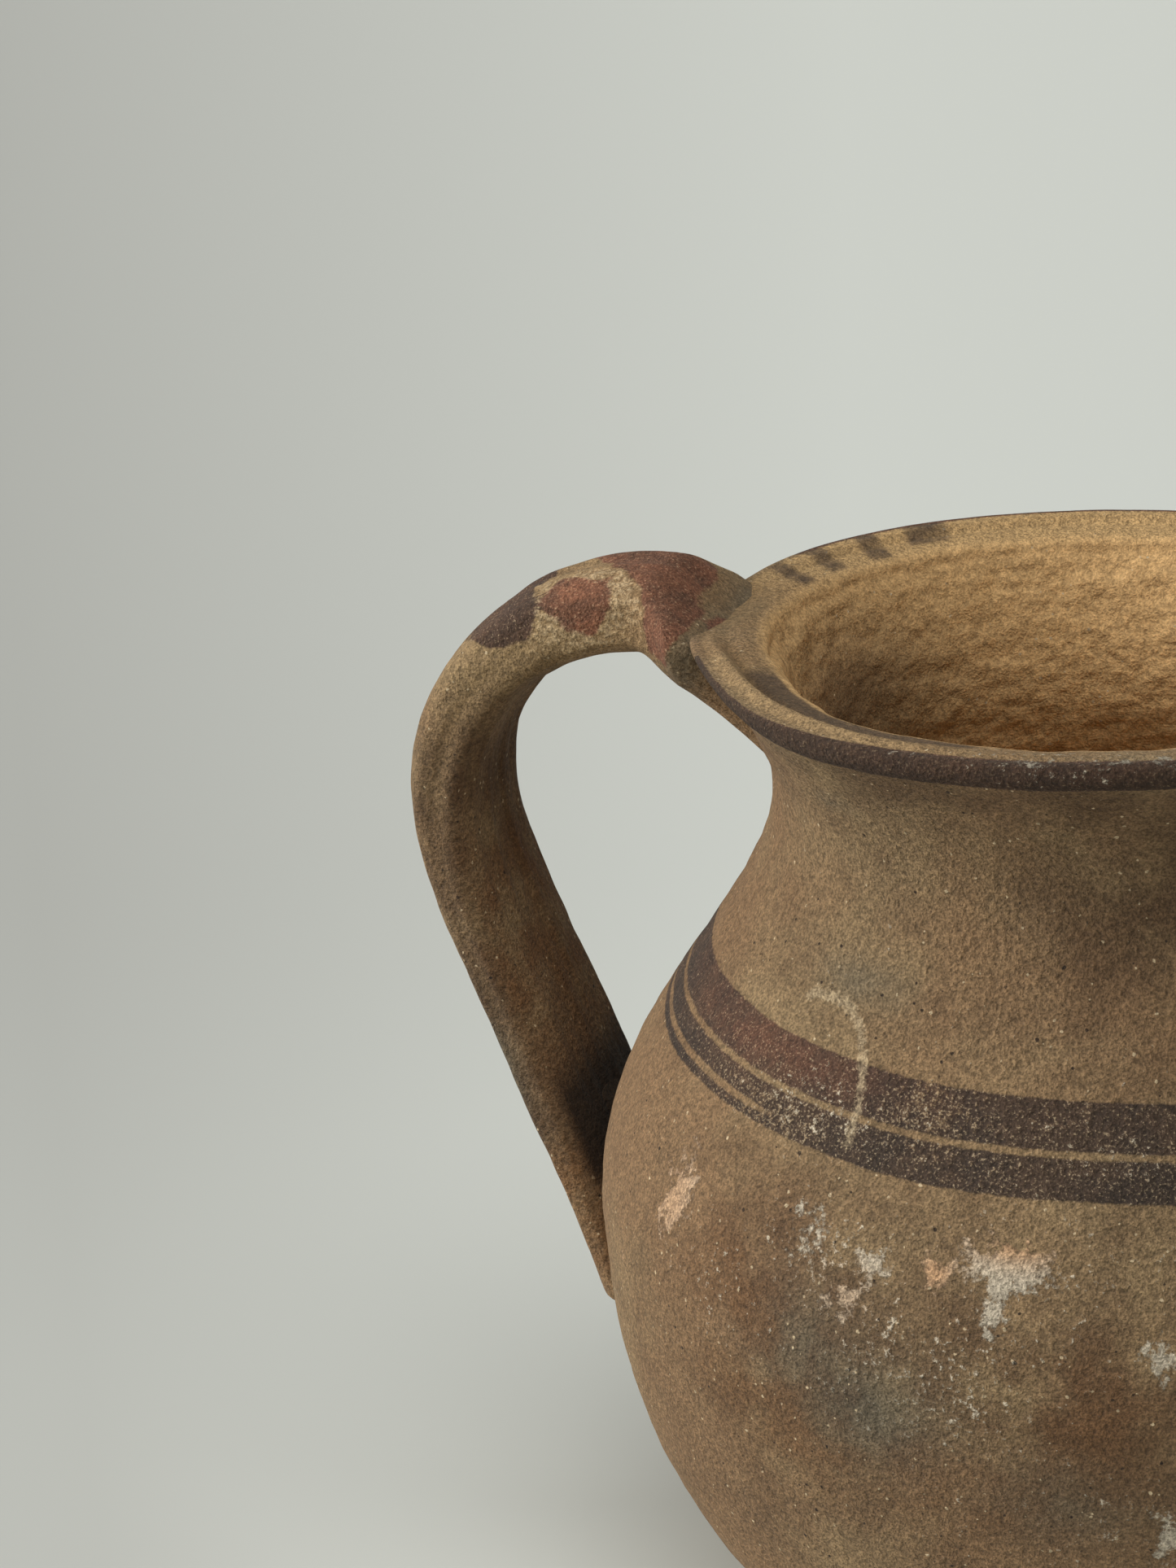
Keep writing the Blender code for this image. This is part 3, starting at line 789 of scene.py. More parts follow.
class StrapSurface:
    """The strap as rings of points, smoothed into the wall at both its ends."""

    def __init__(self, strap, wall, hand):
        self.strap = strap
        outside, lip, _ = wall_lines(wall)
        filled = np.array([[0.0, lip[-1, 1]]])
        self.skin = np.vstack([spaced(outside, wall.step), lip[1:], filled])
        middle = spaced(strap_middle(strap, wall, outside), strap.step)
        run = run_along(middle)
        part = run / run[-1]
        normal = self.calmed(-right_normals(middle))
        smear = ramp(run, run[-1] - strap.tail_smear, run[-1])
        narrow = ramp(run, run[-1] - strap.tail_round, run[-1])
        width = strap.root_width + (strap.tail_width - strap.root_width) * part
        width = width * np.sqrt(1 - TAIL_NARROWS * narrow ** 2)
        thick = strap.root_thickness + (strap.tail_thickness - strap.root_thickness) * part
        middle = middle - normal * (smear * (strap.tail_proud + strap.burial))[:, None]
        self.outside = outside
        self.outward = normal
        self.width = width
        self.underside = middle - normal * thick[:, None] / 2
        across, deep = squarish_oval(strap.squareness, strap.girth)
        spot = middle[:, None] + normal[:, None] * (deep[None] * thick[:, None] / 2)[..., None]
        aside = across[None] * width[:, None] / 2
        wrap = smear[:, None] * aside ** 2 / (2 * wall.belly_radius)
        grid = np.stack([wrap - spot[..., 0], aside, spot[..., 1]], axis=2)
        self.along = np.repeat(run[:, None], strap.girth, axis=1)
        self.girth = self.round_section(grid)
        grid = grid + grid_normals(grid) * self.relief(grid, hand)[..., None]
        self.points = self.joined(self.sunk(grid, wall))

    @staticmethod
    def calmed(normal):
        """Directions along a line, each drawn towards its neighbours so that no bend folds inside."""
        weights = np.hanning(CALM_SPAN + 2)[1:-1]
        slope = np.unwrap(np.arctan2(normal[:, 1], normal[:, 0]))
        padded = np.pad(slope, len(weights) // 2, mode="edge")
        slope = np.convolve(padded, weights / weights.sum(), "valid")
        return np.stack([np.cos(slope), np.sin(slope)], axis=1)

    def round_section(self, grid):
        """Length round each ring from the middle of the outer face, negative towards -Y."""
        quarter = self.strap.girth // 4
        step = np.linalg.norm(grid - np.roll(grid, 1, axis=1), axis=2)
        run = np.cumsum(step, axis=1)
        run -= run[:, quarter:quarter + 1]
        whole = step.sum(axis=1, keepdims=True)
        return -((run + whole / 2) % whole - whole / 2)

    def pulled_lines(self):
        """Heights, about -1 to 1, of the lines that the pulling hand left along the strap."""
        lines = np.stack([self.girth / LINE_WIDTH, self.along / LINE_LENGTH, 0 * self.girth], axis=2)
        return speckle(lines, 1.0, 2)

    def relief(self, grid, hand):
        """Height of the pressed lumps and the pulled lines."""
        lumps = 0.7 * speckle(grid, 16 * MM, 2) + 0.35 * speckle(grid, 5 * MM, 2)
        return hand.strap_lumps * lumps + hand.strap_lines * self.pulled_lines()

    def sunk(self, grid, wall):
        """The rings with the root swept out to the lip's edge and its upper side eased into the lip."""
        strap = self.strap
        at_root = self.along < strap.root_sinks
        level = wall.jug_height - strap.root_ease
        reach = np.linalg.norm(grid[..., :2], axis=2) - wall.rim_radius
        near = np.clip(1 - reach / strap.root_flare, 0, 1)
        sweep = at_root * near ** SWEEP_CURVE * ramp(grid[..., 2] - level, *SWEEP_HEIGHTS)
        sweep *= 1 - SWEEP_LOSS * ramp(grid[..., 1], -5 * MM, 5 * MM)
        half = self.width[:, None] / 2
        droop = SWEEP_DROOP * sweep * (grid[..., 1] / half) ** 2
        grid = grid.copy()
        grid[..., 1] *= 1 + sweep * strap.root_flare / half
        radius = np.linalg.norm(grid[..., :2], axis=2)
        brink = wall.rim_radius - wall.rim_width
        fall = np.interp(radius, (brink, wall.rim_radius), (wall.rim_dish, 0))
        over = np.clip(grid[..., 2] - level + fall, 0, None)
        soft = strap.root_soft * (1 - np.exp(-over / strap.root_soft))
        kept = ramp(radius, strap.root_sunk, strap.root_sinks) * (1 - droop)
        grid[..., 2] -= at_root * (over - soft) * (1 - kept)
        return grid

    def joined(self, grid):
        """The rings with a fillet where they meet the belly, cut off just under the wall's skin."""
        strap = self.strap
        spots = grid.reshape(-1, 3)
        own = grid_normals(grid).reshape(-1, 3)
        gap, normal = from_skin(self.skin, to_profile(spots))
        face = to_space(spots, normal)
        sideways = own - np.sum(own * face, axis=1)[:, None] * face
        short = np.clip(strap.tail_fillet - gap, 0, strap.tail_fillet)
        spread = strap.tail_fillet - np.sqrt(strap.tail_fillet ** 2 - short ** 2)
        spread *= self.along.reshape(-1) > self.along.max() / 2
        spots = spots + sideways * spread[:, None]
        gap, _ = from_skin(self.skin, to_profile(spots))
        burial = np.where(self.along < strap.root_sinks, strap.root_burial, strap.burial)
        return self.cut_off(spots.reshape(grid.shape), gap.reshape(grid.shape[:2]) + burial)

    def cut_off(self, grid, clear):
        """Draws each line of points along the strap together between the places where it meets the skin."""
        count = len(grid)
        middle = count // 2
        rows = np.arange(count)
        kept = np.empty_like(grid)
        along = np.empty_like(self.along)
        girth = np.empty_like(self.girth)
        for line in range(grid.shape[1]):
            low = np.flatnonzero(clear[:middle, line] < 0)
            high = np.flatnonzero(clear[middle:, line] < 0)
            start = 0
            if len(low):
                start = self.crossing(clear[:, line], low[-1], low[-1] + 1)
            end = count - 1
            if len(high):
                end = self.crossing(clear[:, line], middle + high[0], middle + high[0] - 1)
            places = np.linspace(start, end, count)
            for axis in range(3):
                kept[:, line, axis] = np.interp(places, rows, grid[:, line, axis])
            along[:, line] = np.interp(places, rows, self.along[:, line])
            girth[:, line] = np.interp(places, rows, self.girth[:, line])
        self.along, self.girth = along, girth
        return kept

    @staticmethod
    def crossing(clear, under, over):
        """Place between two points where the line comes out of the skin."""
        return under + (over - under) * clear[under] / (clear[under] - clear[over])

    def marks(self):
        """Depth in mm inside the brushed patches, and shares of dulled, stained, smoked and worn clay, and of
        painted shade on the strap's sides, in its pulled lines and in the tail's recess.

        Places are in mm along the strap from its root, and round it from the middle of its outer face.
        """
        along, girth = self.along / MM, self.girth / MM
        slip = np.full(along.shape, BARE)
        red = np.zeros(along.shape)
        wobble = 1.2 * speckle(self.points, 6 * MM, 3) + 0.5 * speckle(self.points, 2 * MM, 1)
        for outline, redness in STROKES:
            depth = outline_depth(np.stack([along, girth], axis=2), np.array(outline)) + wobble
            red = np.where(depth > slip, redness, red)
            slip = np.maximum(slip, depth)
        aside = np.abs(girth)
        side = ramp(aside - 6 * ramp(along, 85, 62), 9, 14)
        inside = ramp(aside, 17, 22)
        tail = ramp(along, 138, 152)
        at_lip = bump(along, 21, 4)
        # Painted shade on the strap's sides and in the hollows of its pulled lines, over the grip's face
        # dulled further down
        dull_and_shade = np.maximum(0.82 * side * ramp(along, 30, 60), 0.55 * ramp(along, 62, 80) * (1 - side))
        dull_and_shade = np.clip(dull_and_shade * (1 - 0.75 * tail) * (0.9 - 0.6 * self.pulled_lines()), 0, 1)
        bared = bump(along, 40, 22) * bump(girth, -11, 18) * (1 - 0.4 * ramp(slip, -0.5, 1.5))
        return {
            "slip": 0.5 * slip,
            "red": red,
            "umber_and_shade": np.maximum(dull_and_shade, 0.5 * at_lip),
            "smoke": 0.7 * bump(along, 126, 14) * bump(girth, -14, 3) + 0.7 * at_lip,
            "ochre": np.maximum(0.6 * tail, 0.55 * bump(along, 108, 20) * inside),
            # Painted shade in the recess where the tail's sides meet the belly
            "soot_and_shade": ramp(along, 128, 137) * ramp(along, 154, 148) * ramp(aside, 18.5, 23),
            "worn": 0.1 + 0.6 * bump(along, 41, 5) * bump(girth, -2, 4),
            "clean": 0.1 * ramp(along, 78, 58) + 0.4 * bump(along, 40, 10) * bump(girth, -11, 9),
            "chalk": 2.7 * bared,
        }


# Brushed patches over the crown: outline in mm along the strap and round it, and how red they fired
STROKES = (
    (((58, 9), (59.5, -5), (55, -14), (49, -16), (46, -12), (47, -2), (47, 9)), 0.15),
    (((45, -10), (42.9, -5.5), (35.8, -6.5), (34, -13), (38.5, -17.5), (42.5, -16)), 0.9),
    (((43, 9), (42.5, 5), (35, -3), (31, -10.5), (27, -17),
      (23, -17), (23.5, -11), (25, -4), (27, 2), (28, 9)), 0.75),
    (((22.5, -1), (21, -2), (20.5, -6), (22.2, -6)), 0.7),
)


def line_reach(spots, line):
    """Distance of points from a line of points."""
    side = np.diff(line, axis=0)
    offset = spots[..., None, :] - line[:-1]
    t = np.clip(np.sum(offset * side, axis=-1) / np.sum(side ** 2, axis=1), 0, 1)
    return np.linalg.norm(offset - side * t[..., None], axis=-1).min(axis=-1)


def outline_depth(spots, outline):
    """Distance inside a closed outline, negative outside it."""
    following = np.roll(outline, -1, axis=0)
    side = following - outline
    reach = line_reach(spots, np.vstack([outline, outline[:1]]))
    rises = (outline[:, 1] > spots[..., None, 1]) != (following[:, 1] > spots[..., None, 1])
    slope = np.where(side[:, 1] == 0, 1e-9, side[:, 1])
    crossing = outline[:, 0] + (spots[..., None, 1] - outline[:, 1]) * side[:, 0] / slope
    inside = np.sum(rises & (spots[..., None, 0] < crossing), axis=-1) % 2 == 1
    return np.where(inside, reach, -reach)


class CornerRoll:
    """A roll of clay pressed into the corner where the strap's underside runs into the wall."""

    HOLLOW = 0.6  # how far the roll's face is pressed in towards the corner
    DEPTH = 3 * MM  # how far it reaches under the skins of the strap and the wall
    INSET = 5 * MM  # how far it ends inside the strap's sides
    LUMP = 6 * MM
    TAPER = (2.4, 0.8)  # exponents of the curve in which it narrows towards its ends

    def __init__(self, surface, opens, roll):
        underside = surface.underside if opens > 0 else surface.underside[::-1]
        width = surface.width if opens > 0 else surface.width[::-1]
        into = surface.outward if opens > 0 else surface.outward[::-1]
        half = len(underside) // 2
        gap, _ = from_skin(surface.skin, underside)
        meeting = half + int(np.argmax(gap[half:] < 0))
        room = np.cumsum(np.clip(gap[meeting:half:-1], 0, None) * surface.strap.step)
        reach = int(np.argmax(room > math.pi * roll ** 2 / 4))
        self.corner = underside[meeting]
        on_strap = underside[meeting - reach]
        height = self.corner[1] + opens * np.linalg.norm(on_strap - self.corner)
        on_wall = np.array([np.interp(height, surface.outside[:, 1], surface.outside[:, 0]), height])
        pulls = [(self.corner - on_wall) * self.HOLLOW, (on_strap - self.corner) * self.HOLLOW]
        hollow = bezier(on_wall, pulls[0], pulls[1], on_strap, 16)
        into_strap = into[meeting] * self.DEPTH
        into_wall = -OUT * self.DEPTH
        back = [on_strap + into_strap, self.corner + into_strap + into_wall, on_wall + into_wall]
        self.outline = np.vstack([hollow, back])
        self.half = width[meeting] / 2 - self.INSET

    def grid(self, hand, count=48):
        """Rings of points across the strap, which narrow towards both ends."""
        place = np.linspace(-1, 1, count)
        size = np.clip(1 - np.abs(place) ** self.TAPER[0], 0.02, 1) ** self.TAPER[1]
        flat = self.corner + (self.outline - self.corner)[None] * size[:, None, None]
        across = np.broadcast_to(place[:, None, None] * self.half, (*flat.shape[:2], 1))
        rings = np.concatenate([-flat[..., :1], across, flat[..., 1:]], axis=2)
        return rings + grid_normals(rings) * (hand.strap_lumps * speckle(rings, self.LUMP, 2))[..., None]


def tube_piece(name, rings, marks, node, material):
    """A piece from rings of points, closed by a flat face at each end."""
    count, girth = rings.shape[:2]
    faces = grid_faces(count, girth, False).tolist()
    faces.append(list(range(girth))[::-1])
    faces.append(list(range((count - 1) * girth, count * girth)))
    flat = {mark: values.reshape(-1) for mark, values in marks.items()}
    mesh_piece(name, rings.reshape(-1, 3), faces, flat, node, material)


def add(tree, kind, inputs=None, out=0, **settings):
    """Adds a node with its settings, links or sets its inputs, and returns one of its outputs."""
    made = tree.nodes.new(kind)
    for name, value in settings.items():
        setattr(made, name, value)
    for key, value in (inputs or {}).items():
        if isinstance(value, bpy.types.NodeSocket):
            tree.links.new(value, made.inputs[key])
        else:
            made.inputs[key].default_value = value
    return made.outputs[out]


MIX = {"kind": "ShaderNodeMix", "out": 2, "data_type": "RGBA"}
STEP = {"kind": "ShaderNodeMapRange", "interpolation_type": "SMOOTHSTEP"}
TIMES = {"kind": "ShaderNodeMath", "operation": "MULTIPLY"}
TIMES_PLUS = {"kind": "ShaderNodeMath", "operation": "MULTIPLY_ADD"}
PLUS = {"kind": "ShaderNodeMath", "operation": "ADD"}

# Sockets of a step: its value, where it starts and ends, and what it gives there
VALUE, START, END, LOW, HIGH = range(5)

# Sockets of a mix: the share of the upper colour, and the two colours
SHARE, UNDER, OVER = 0, 6, 7

# Marks that the pieces carry on their points
MARKS = ("slip", "worn", "red", "inner", "clean", "fresh", "stain", "soot_and_shade", "chalk",
         "lime", "crust", "peach", "smoke", "ochre", "umber_and_shade")

# Cloudy patterns: size in mm, squash along each axis, detail, roughness
CLOUDS = {
    "grain": (0.38, (1, 1, 1), 2.0, 0.6),
    "sand": (1.0, (1, 1, 1), 3.0, 0.6),
    "wheel": (1.1, (0.1, 0.1, 1), 2.0, 0.55),
    "lump": (3.6, (0.8, 0.8, 1.1), 1.5, 0.5),
    "haze": (11.0, (1, 1, 1), 4.0, 0.55),
    "fire": (38.0, (1, 1, 1), 3.0, 0.55),
    "rag": (1.6, (1, 1, 1), 3.0, 0.6),
    "wear": (5.0, (1, 1, 1), 5.0, 0.65),
    "flake": (1.0, (1, 1, 1), 4.0, 0.7),
    "scale": (2.4, (1, 1, 1), 6.0, 0.72),
}

# Spots in cells of a pattern: size of a cell in mm, largest spot in cells, share of cells that have one
SPOTS = {"pits": (1.3, 0.12, 0.1), "grits": (1.1, 0.15, 0.15)}


def earthenware(name, colours):
    """Sandy earthenware, wiped wet and fired matt: grains that catch the light, pits, and clouds of tone.

    Over the clay lie the brushed slip, worn to specks, and the crust of lime that the ground left.
    """
    material = bpy.data.materials.new(name)
    material.use_nodes = True
    tree = material.node_tree
    tree.nodes.clear()
    place = add(tree, "ShaderNodeTexCoord", out="Object")
    tint = {key: (*getattr(colours, key), 1.0) for key in ClayColours.__annotations__}
    mark = {key: add(tree, "ShaderNodeAttribute", out="Fac", attribute_name=key) for key in MARKS}
    cloud = {}
    for key, (size, squash, detail, roughness) in CLOUDS.items():
        spot = add(tree, "ShaderNodeVectorMath", {0: place, 1: squash}, operation="MULTIPLY")
        settings = {"Vector": spot, "Scale": 1 / (size * MM), "Detail": detail, "Roughness": roughness}
        cloud[key] = add(tree, "ShaderNodeTexNoise", settings, "Fac")
    spots = {}
    for key, (size, dot, share) in SPOTS.items():
        cell = add(tree, "ShaderNodeTexVoronoi", {"Vector": place, "Scale": 1 / (size * MM)}, "Distance")
        chance = add(tree, "ShaderNodeSeparateColor", {0: cell.node.outputs["Color"]})
        chosen = add(tree, inputs={VALUE: chance, START: share, END: share - 0.01}, **STEP)
        reach = add(tree, inputs={0: chance.node.outputs[1], 1: dot, 2: 0.1}, **TIMES_PLUS)
        ragged = add(tree, inputs={0: cloud["flake"], 1: 0.9, 2: reach}, **TIMES_PLUS)
        inside = add(tree, "ShaderNodeMath", {0: ragged, 1: cell}, operation="SUBTRACT")
        spots[key] = add(tree, inputs={VALUE: inside, START: 0.45, END: 0.52, HIGH: chosen}, **STEP)

    # Clay: two tones of firing, dirt and painted shade, rust and smoke, pits and pale grains, and the strokes
    # on the lip
    fired = add(tree, inputs={VALUE: cloud["fire"], START: 0.36, END: 0.64}, **STEP)
    tone = add(tree, inputs={SHARE: fired, UNDER: tint["buff"], OVER: tint["tan"]}, **MIX)
    clouded = add(tree, inputs={VALUE: cloud["haze"], START: 0.5, END: 0.75, HIGH: 0.5}, **STEP)
    dulled = add(tree, inputs={VALUE: cloud["haze"], START: 0.25, END: 0.6, HIGH: mark["umber_and_shade"]}, **STEP)
    rusted = add(tree, inputs={VALUE: cloud["haze"], START: 0.3, END: 0.6, HIGH: mark["ochre"]}, **STEP)
    smoked = add(tree, inputs={VALUE: cloud["haze"], START: 0.75, END: 0.4, HIGH: mark["smoke"]}, **STEP)
    strokes = add(tree, inputs={VALUE: cloud["rag"], START: 0.15, END: 0.45, HIGH: mark["stain"]}, **STEP)
    layers = (
        (clouded, "umber_and_shade"), (dulled, "umber_and_shade"), (rusted, "ochre"), (smoked, "smoke"), (spots["pits"], "pit"),
        (mark["clean"], "throat"), (mark["fresh"], "hollow"), (spots["grits"], "grit"), (strokes, "slip"),
    )
    for share, over in layers:
        tone = add(tree, inputs={SHARE: share, UNDER: tone, OVER: tint[over]}, **MIX)

    # Slip: ragged at its edge, flaked, thick or thin, dark or red, with dust in its grain
    depth = add(tree, inputs={0: cloud["rag"], 1: 0.6, 2: mark["slip"]}, **TIMES_PLUS)
    cover = add(tree, inputs={VALUE: depth, START: 0.12, END: 0.48, HIGH: 0.95}, **STEP)
    flaked = add(tree, inputs={0: mark["worn"], 1: 0.2, 2: cloud["flake"]}, **TIMES_PLUS)
    flaked = add(tree, inputs={0: cloud["wear"], 1: 0.35, 2: flaked}, **TIMES_PLUS)
    kept = add(tree, inputs={VALUE: flaked, START: 0.96, END: 0.82, LOW: 0.3, HIGH: 1.0}, **STEP)
    cover = add(tree, inputs={0: cover, 1: kept}, **TIMES)
    thick = add(tree, inputs={VALUE: cloud["haze"], START: 0.42, END: 0.6}, **STEP)
    slip = add(tree, inputs={SHARE: thick, UNDER: tint["slip"], OVER: tint["slip_black"]}, **MIX)
    redder = add(tree, inputs={VALUE: cloud["wear"], START: 0.35, END: 0.6, LOW: 0.5, HIGH: 1.0}, **STEP)
    redder = add(tree, inputs={0: redder, 1: mark["red"]}, **TIMES)
    slip = add(tree, inputs={SHARE: redder, UNDER: slip, OVER: tint["slip_red"]}, **MIX)
    dust = add(tree, inputs={0: mark["worn"], 1: 0.12, 2: cloud["grain"]}, **TIMES_PLUS)
    dusty = add(tree, inputs={VALUE: dust, START: 0.6, END: 0.76, HIGH: 0.5}, **STEP)
    slip = add(tree, inputs={SHARE: dusty, UNDER: slip, OVER: tint["grit"]}, **MIX)
    tone = add(tree, inputs={SHARE: cover, UNDER: tone, OVER: slip}, **MIX)

    # What lies over both: near-black where the edge's slip lies thick and as painted shade in recesses, crust
    # and powder of lime, and clay rubbed pale
    scaled = add(tree, inputs={0: mark["crust"], 1: 0.42, 2: cloud["scale"]}, **TIMES_PLUS)
    crust = add(tree, inputs={VALUE: scaled, START: 0.78, END: 0.88, HIGH: 0.85}, **STEP)
    ragged = add(tree, inputs={0: cloud["flake"], 1: 2.6, 2: mark["chalk"]}, **TIMES_PLUS)
    chalk = add(tree, inputs={VALUE: ragged, START: 3.3, END: 4.1, HIGH: 0.55}, **STEP)
    powder = add(tree, inputs={0: mark["lime"], 1: 0.3, 2: cloud["flake"]}, **TIMES_PLUS)
    powder = add(tree, inputs={0: cloud["wear"], 1: 0.35, 2: powder}, **TIMES_PLUS)
    powder = add(tree, inputs={VALUE: powder, START: 0.92, END: 1.01, HIGH: 0.8}, **STEP)
    white = add(tree, inputs={SHARE: mark["peach"], UNDER: tint["lime"], OVER: tint["peach"]}, **MIX)
    greened = add(tree, inputs={0: mark["smoke"], 1: 0.8}, **TIMES)
    white = add(tree, inputs={SHARE: greened, UNDER: white, OVER: tint["smoke"]}, **MIX)
    for share, over in ((mark["soot_and_shade"], tint["pit"]), (crust, white), (powder, white), (chalk, tint["grit"])):
        tone = add(tree, inputs={SHARE: share, UNDER: tone, OVER: over}, **MIX)

    # Light and dark of the sand, calmer inside
    calm = add(tree, inputs={0: mark["inner"], 1: 0.22, 2: 0.62}, **TIMES_PLUS)
    fine = add(tree, inputs={VALUE: cloud["grain"], START: 0.3, END: 0.7, LOW: calm, HIGH: 1.34}, **STEP)
    coarse = add(tree, inputs={VALUE: cloud["sand"], START: 0.3, END: 0.7, LOW: 0.75, HIGH: 1.22}, **STEP)
    speck = add(tree, inputs={0: fine, 1: coarse}, **TIMES)
    tone = add(tree, "ShaderNodeVectorMath", {0: tone, "Scale": speck}, operation="SCALE")

    # Relief of the sand, the wheel, the fingers' lumps inside, the pits and the crust, in mm
    lumps = add(tree, inputs={0: cloud["lump"], 1: mark["inner"]}, **TIMES)
    wiped = add(tree, inputs={0: mark["inner"], 1: -0.6, 2: 1.0}, **TIMES_PLUS)
    sandy = add(tree, inputs={0: cloud["sand"], 1: wiped}, **TIMES)
    rises = ((cloud["grain"], 0.26), (sandy, 0.82), (cloud["wheel"], 0.07), (lumps, 1.35),
             (spots["pits"], -0.3), (crust, 0.15), (powder, 0.12))
    height = 0.0
    for pattern, rise in rises:
        height = add(tree, inputs={0: pattern, 1: rise * MM, 2: height}, **TIMES_PLUS)
    normal = add(tree, "ShaderNodeBump", {"Height": height, "Distance": 1.0, "Strength": 1.0})
    settings = {"Base Color": tone, "Roughness": 0.92, "Normal": normal, "Specular IOR Level": 0.35}
    shader = add(tree, "ShaderNodeBsdfPrincipled", settings)
    end = tree.nodes.new("ShaderNodeOutputMaterial")
    tree.links.new(shader, end.inputs["Surface"])
    return material


class JUG_OT_wall(bpy.types.Operator):
    """Builds the base, the belly, the shoulder, the neck and the lip"""

    bl_idname = "jug.wall"
    bl_label = "Turned wall"

    def execute(self, context):
        scene = context.scene
        pot = PotSurface(scene.jug_wall, scene.jug_hand, scene.jug_bands)
        clay = earthenware("Wiped sandy earthenware", scene.jug_colours)
        outer, inner = pot.outer_seams, pot.inner_seams
        base_mesh(pot, clay)
        rings = (("belly_wall", "belly_clay"), ("shoulder_wall", "shoulder_clay"),
                 ("neck_collar", "neck_clay"))
        for index, (node, slot) in enumerate(rings):
            climb = np.arange(outer[index], outer[index + 1] + 1)
            descent = np.arange(inner[2 - index], inner[3 - index] + 1)
            pot.piece(node, np.concatenate([climb, descent]), slot, clay)
        pot.piece("rim_lip", np.arange(outer[3], inner[0] + 1), "rim_clay", clay)
        return {"FINISHED"}


class JUG_OT_handle(bpy.types.Operator):
    """Builds the strap handle and the rolls of clay in its corners"""

    bl_idname = "jug.handle"
    bl_label = "Strap handle"

    def execute(self, context):
        scene = context.scene
        strap, hand = scene.jug_strap, scene.jug_hand
        surface = StrapSurface(strap, scene.jug_wall, hand)
        clay = earthenware("Pulled smoked earthenware", scene.jug_colours)
        tube_piece("jug_handle_strap", surface.points, surface.marks(), "handle_strap", clay)
        rolls = (("handle_top_lute", "top_lute_clay", -1, strap.top_roll, 0.0),
                 ("handle_tail_lute", "tail_lute_clay", 1, strap.tail_roll, 0.9))
        for node, slot, opens, roll, soot_and_shade in rolls:
            rings = CornerRoll(surface, opens, roll).grid(hand)
            # The roll under the tail sits in the recess there and is darkened as painted shade
            recess_shade = np.full(rings.shape[:2], soot_and_shade)
            marks = {"slip": np.full(rings.shape[:2], BARE), "umber_and_shade": recess_shade / 2, "soot_and_shade": recess_shade}
            tube_piece("jug_" + node, rings, marks, node, clay)
        return {"FINISHED"}


# Half the floor's side in metres
FLOOR_HALF = 6.0

# Lamps: strength, spread, turn from the camera's left and height over the floor, the last three in degrees
LAMPS = {"window": (3.18, 50, 0, 15), "skylight": (1.73, 50, 90, 70)}


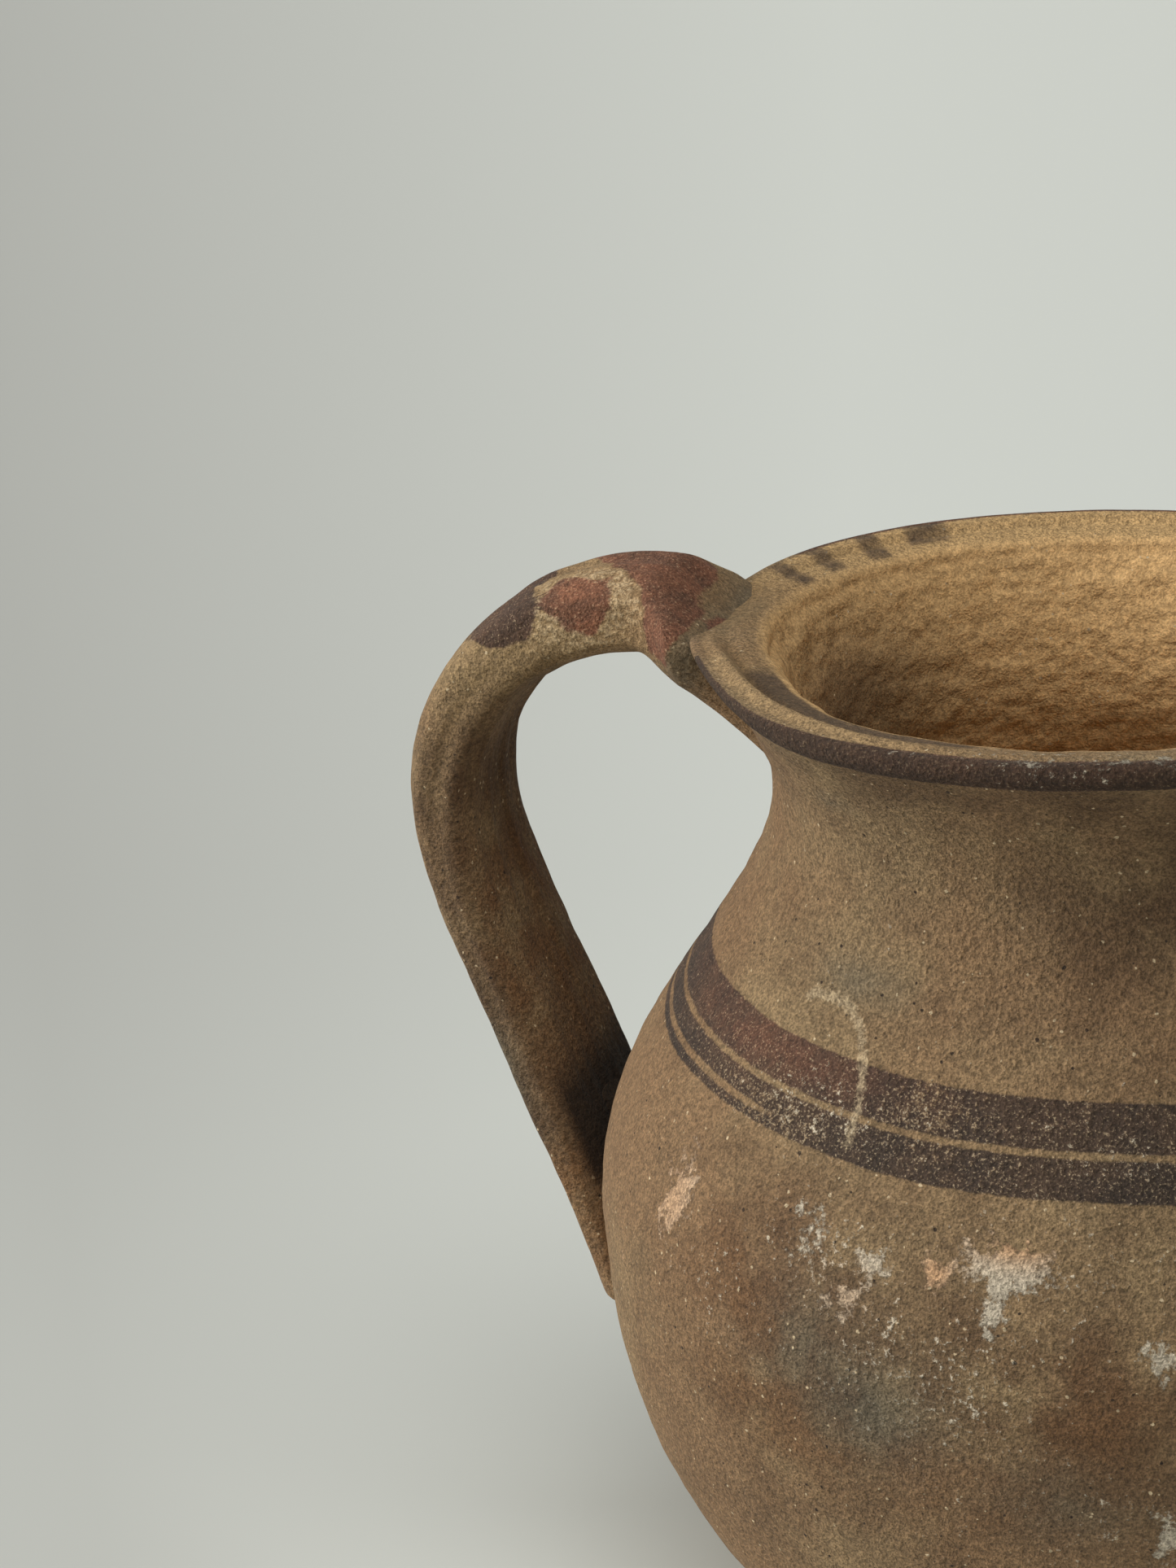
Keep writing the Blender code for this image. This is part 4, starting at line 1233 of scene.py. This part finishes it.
class JUG_OT_stage(bpy.types.Operator):
    """Builds the pale floor, the soft light and the camera"""

    bl_idname = "jug.stage"
    bl_label = "Floor, light and camera"

    def execute(self, context):
        scene = context.scene
        self.floor(scene)
        self.light(scene)
        self.camera(scene)
        scene.view_settings.view_transform = "Standard"
        return {"FINISHED"}

    def floor(self, scene):
        """Matt paper with painted light and shade: a little dimmer towards the handle's side, lighter near
        the camera.
        """
        mesh = bpy.data.meshes.new("floor")
        half = FLOOR_HALF
        corners = [(-half, -half, 0), (half, -half, 0), (half, half, 0), (-half, half, 0)]
        mesh.from_pydata(corners, [], [(0, 1, 2, 3)])
        material = bpy.data.materials.new("Matt grey paper")
        material.use_nodes = True
        tree = material.node_tree
        view, colours = scene.jug_view, scene.jug_colours
        place = add(tree, "ShaderNodeTexCoord", out="Object")
        spot = add(tree, "ShaderNodeVectorMath", {0: place, 1: view.place}, operation="SUBTRACT")
        level = (math.cos(view.yaw), -math.sin(view.yaw), 0)
        ahead = (math.sin(view.yaw), math.cos(view.yaw), 0)
        right = add(tree, "ShaderNodeVectorMath", {0: spot, 1: level}, "Value", operation="DOT_PRODUCT")
        away = add(tree, "ShaderNodeVectorMath", {0: spot, 1: ahead}, "Value", operation="DOT_PRODUCT")
        apart = add(tree, "ShaderNodeMath", {0: away}, operation="ABSOLUTE")
        fan = add(tree, "ShaderNodeMath", {0: right, 1: apart}, operation="DIVIDE")
        fan = add(tree, "ShaderNodeMapRange", {VALUE: fan, START: -0.17, END: 0.08})
        near = add(tree, inputs={VALUE: away, START: 0.85, END: 0.5, HIGH: 0.4}, **STEP)
        lit = add(tree, inputs={0: fan, 1: near}, use_clamp=True, **PLUS)
        tones = {UNDER: (*colours.paper_dim, 1.0), OVER: (*colours.paper, 1.0)}
        paper = add(tree, inputs={SHARE: lit, **tones}, **MIX)
        shader = tree.nodes["Principled BSDF"]
        tree.links.new(paper, shader.inputs["Base Color"])
        shader.inputs["Roughness"].default_value = 0.95
        shader.inputs["Specular IOR Level"].default_value = 0.0
        mesh.materials.append(material)
        floor = bpy.data.objects.new("floor", mesh)
        scene.collection.objects.link(floor)

    def light(self, scene):
        """A low broad window on the left and a high one in front, both soft, with a dim room round them."""
        for name, (strength, spread, aside, above) in LAMPS.items():
            light = bpy.data.lights.new(name, "SUN")
            light.energy = strength
            light.angle = math.radians(spread)
            turn = scene.jug_view.yaw - math.radians(aside)
            flat = Vector((-math.cos(turn), math.sin(turn), 0)) * math.cos(math.radians(above))
            lamp = bpy.data.objects.new(name, light)
            lamp.location = flat + Vector((0, 0, math.sin(math.radians(above))))
            lamp.rotation_euler = lamp.location.to_track_quat("Z", "Y").to_euler()
            scene.collection.objects.link(lamp)
        world = bpy.data.worlds.new("room")
        world.use_nodes = True
        tree = world.node_tree
        sky = tree.nodes["Background"]
        rays = tree.nodes.new("ShaderNodeLightPath")
        mirrors = {0: rays.outputs["Is Glossy Ray"], 1: rays.outputs["Is Transmission Ray"]}
        mirrored = add(tree, inputs=mirrors, **PLUS)
        seen = add(tree, inputs={0: rays.outputs["Is Camera Ray"], 1: mirrored}, use_clamp=True, **PLUS)
        dim = (0.04, 0.04, 0.04, 1.0)
        shown = add(tree, inputs={SHARE: seen, UNDER: dim, OVER: (*scene.jug_colours.paper, 1.0)}, **MIX)
        tree.links.new(shown, sky.inputs["Color"])
        sky.inputs["Strength"].default_value = 1.0
        scene.world = world

    def camera(self, scene):
        """Stands where the jug was seen from: a little above it, in front and to the right of the handle."""
        view = scene.jug_view
        flat = Vector((math.sin(view.yaw), math.cos(view.yaw), 0))
        ahead = flat * math.cos(view.pitch) - Vector((0, 0, math.sin(view.pitch)))
        level = Vector((math.cos(view.yaw), -math.sin(view.yaw), 0))
        above = level.cross(ahead)
        right = level * math.cos(view.roll) + above * math.sin(view.roll)
        up = right.cross(ahead)
        place = Matrix((right, up, -ahead)).transposed().to_4x4()
        place.translation = view.place
        lens = bpy.data.cameras.new("camera")
        lens.lens = view.lens
        camera = bpy.data.objects.new("camera", lens)
        camera.matrix_world = place
        scene.collection.objects.link(camera)
        scene.camera = camera


class JUG_PT_panel(bpy.types.Panel):
    """The jug's sizes and colours, and the steps that build it"""

    bl_label = "Ceramic jug"
    bl_space_type = "VIEW_3D"
    bl_region_type = "UI"
    bl_category = "Jug"

    def draw(self, context):
        for operator in OPERATORS:
            self.layout.operator(operator.bl_idname)
        for name, group in GROUPS.items():
            box = self.layout.box()
            for setting in group.__annotations__:
                box.prop(getattr(context.scene, name), setting)


GROUPS = {
    "jug_wall": JugWall,
    "jug_hand": HandMarks,
    "jug_strap": HandleStrap,
    "jug_bands": BrushedBands,
    "jug_colours": ClayColours,
    "jug_view": JugView,
}
OPERATORS = (JUG_OT_wall, JUG_OT_handle, JUG_OT_stage)


def register():
    for kind in (*GROUPS.values(), *OPERATORS, JUG_PT_panel):
        bpy.utils.register_class(kind)
    for name, group in GROUPS.items():
        setattr(bpy.types.Scene, name, PointerProperty(type=group))


def unregister():
    for name in GROUPS:
        delattr(bpy.types.Scene, name)
    for kind in reversed((*GROUPS.values(), *OPERATORS, JUG_PT_panel)):
        bpy.utils.unregister_class(kind)


def main():
    register()
    bpy.ops.jug.wall()
    bpy.ops.jug.handle()
    bpy.ops.jug.stage()


if __name__ == "__main__":
    main()
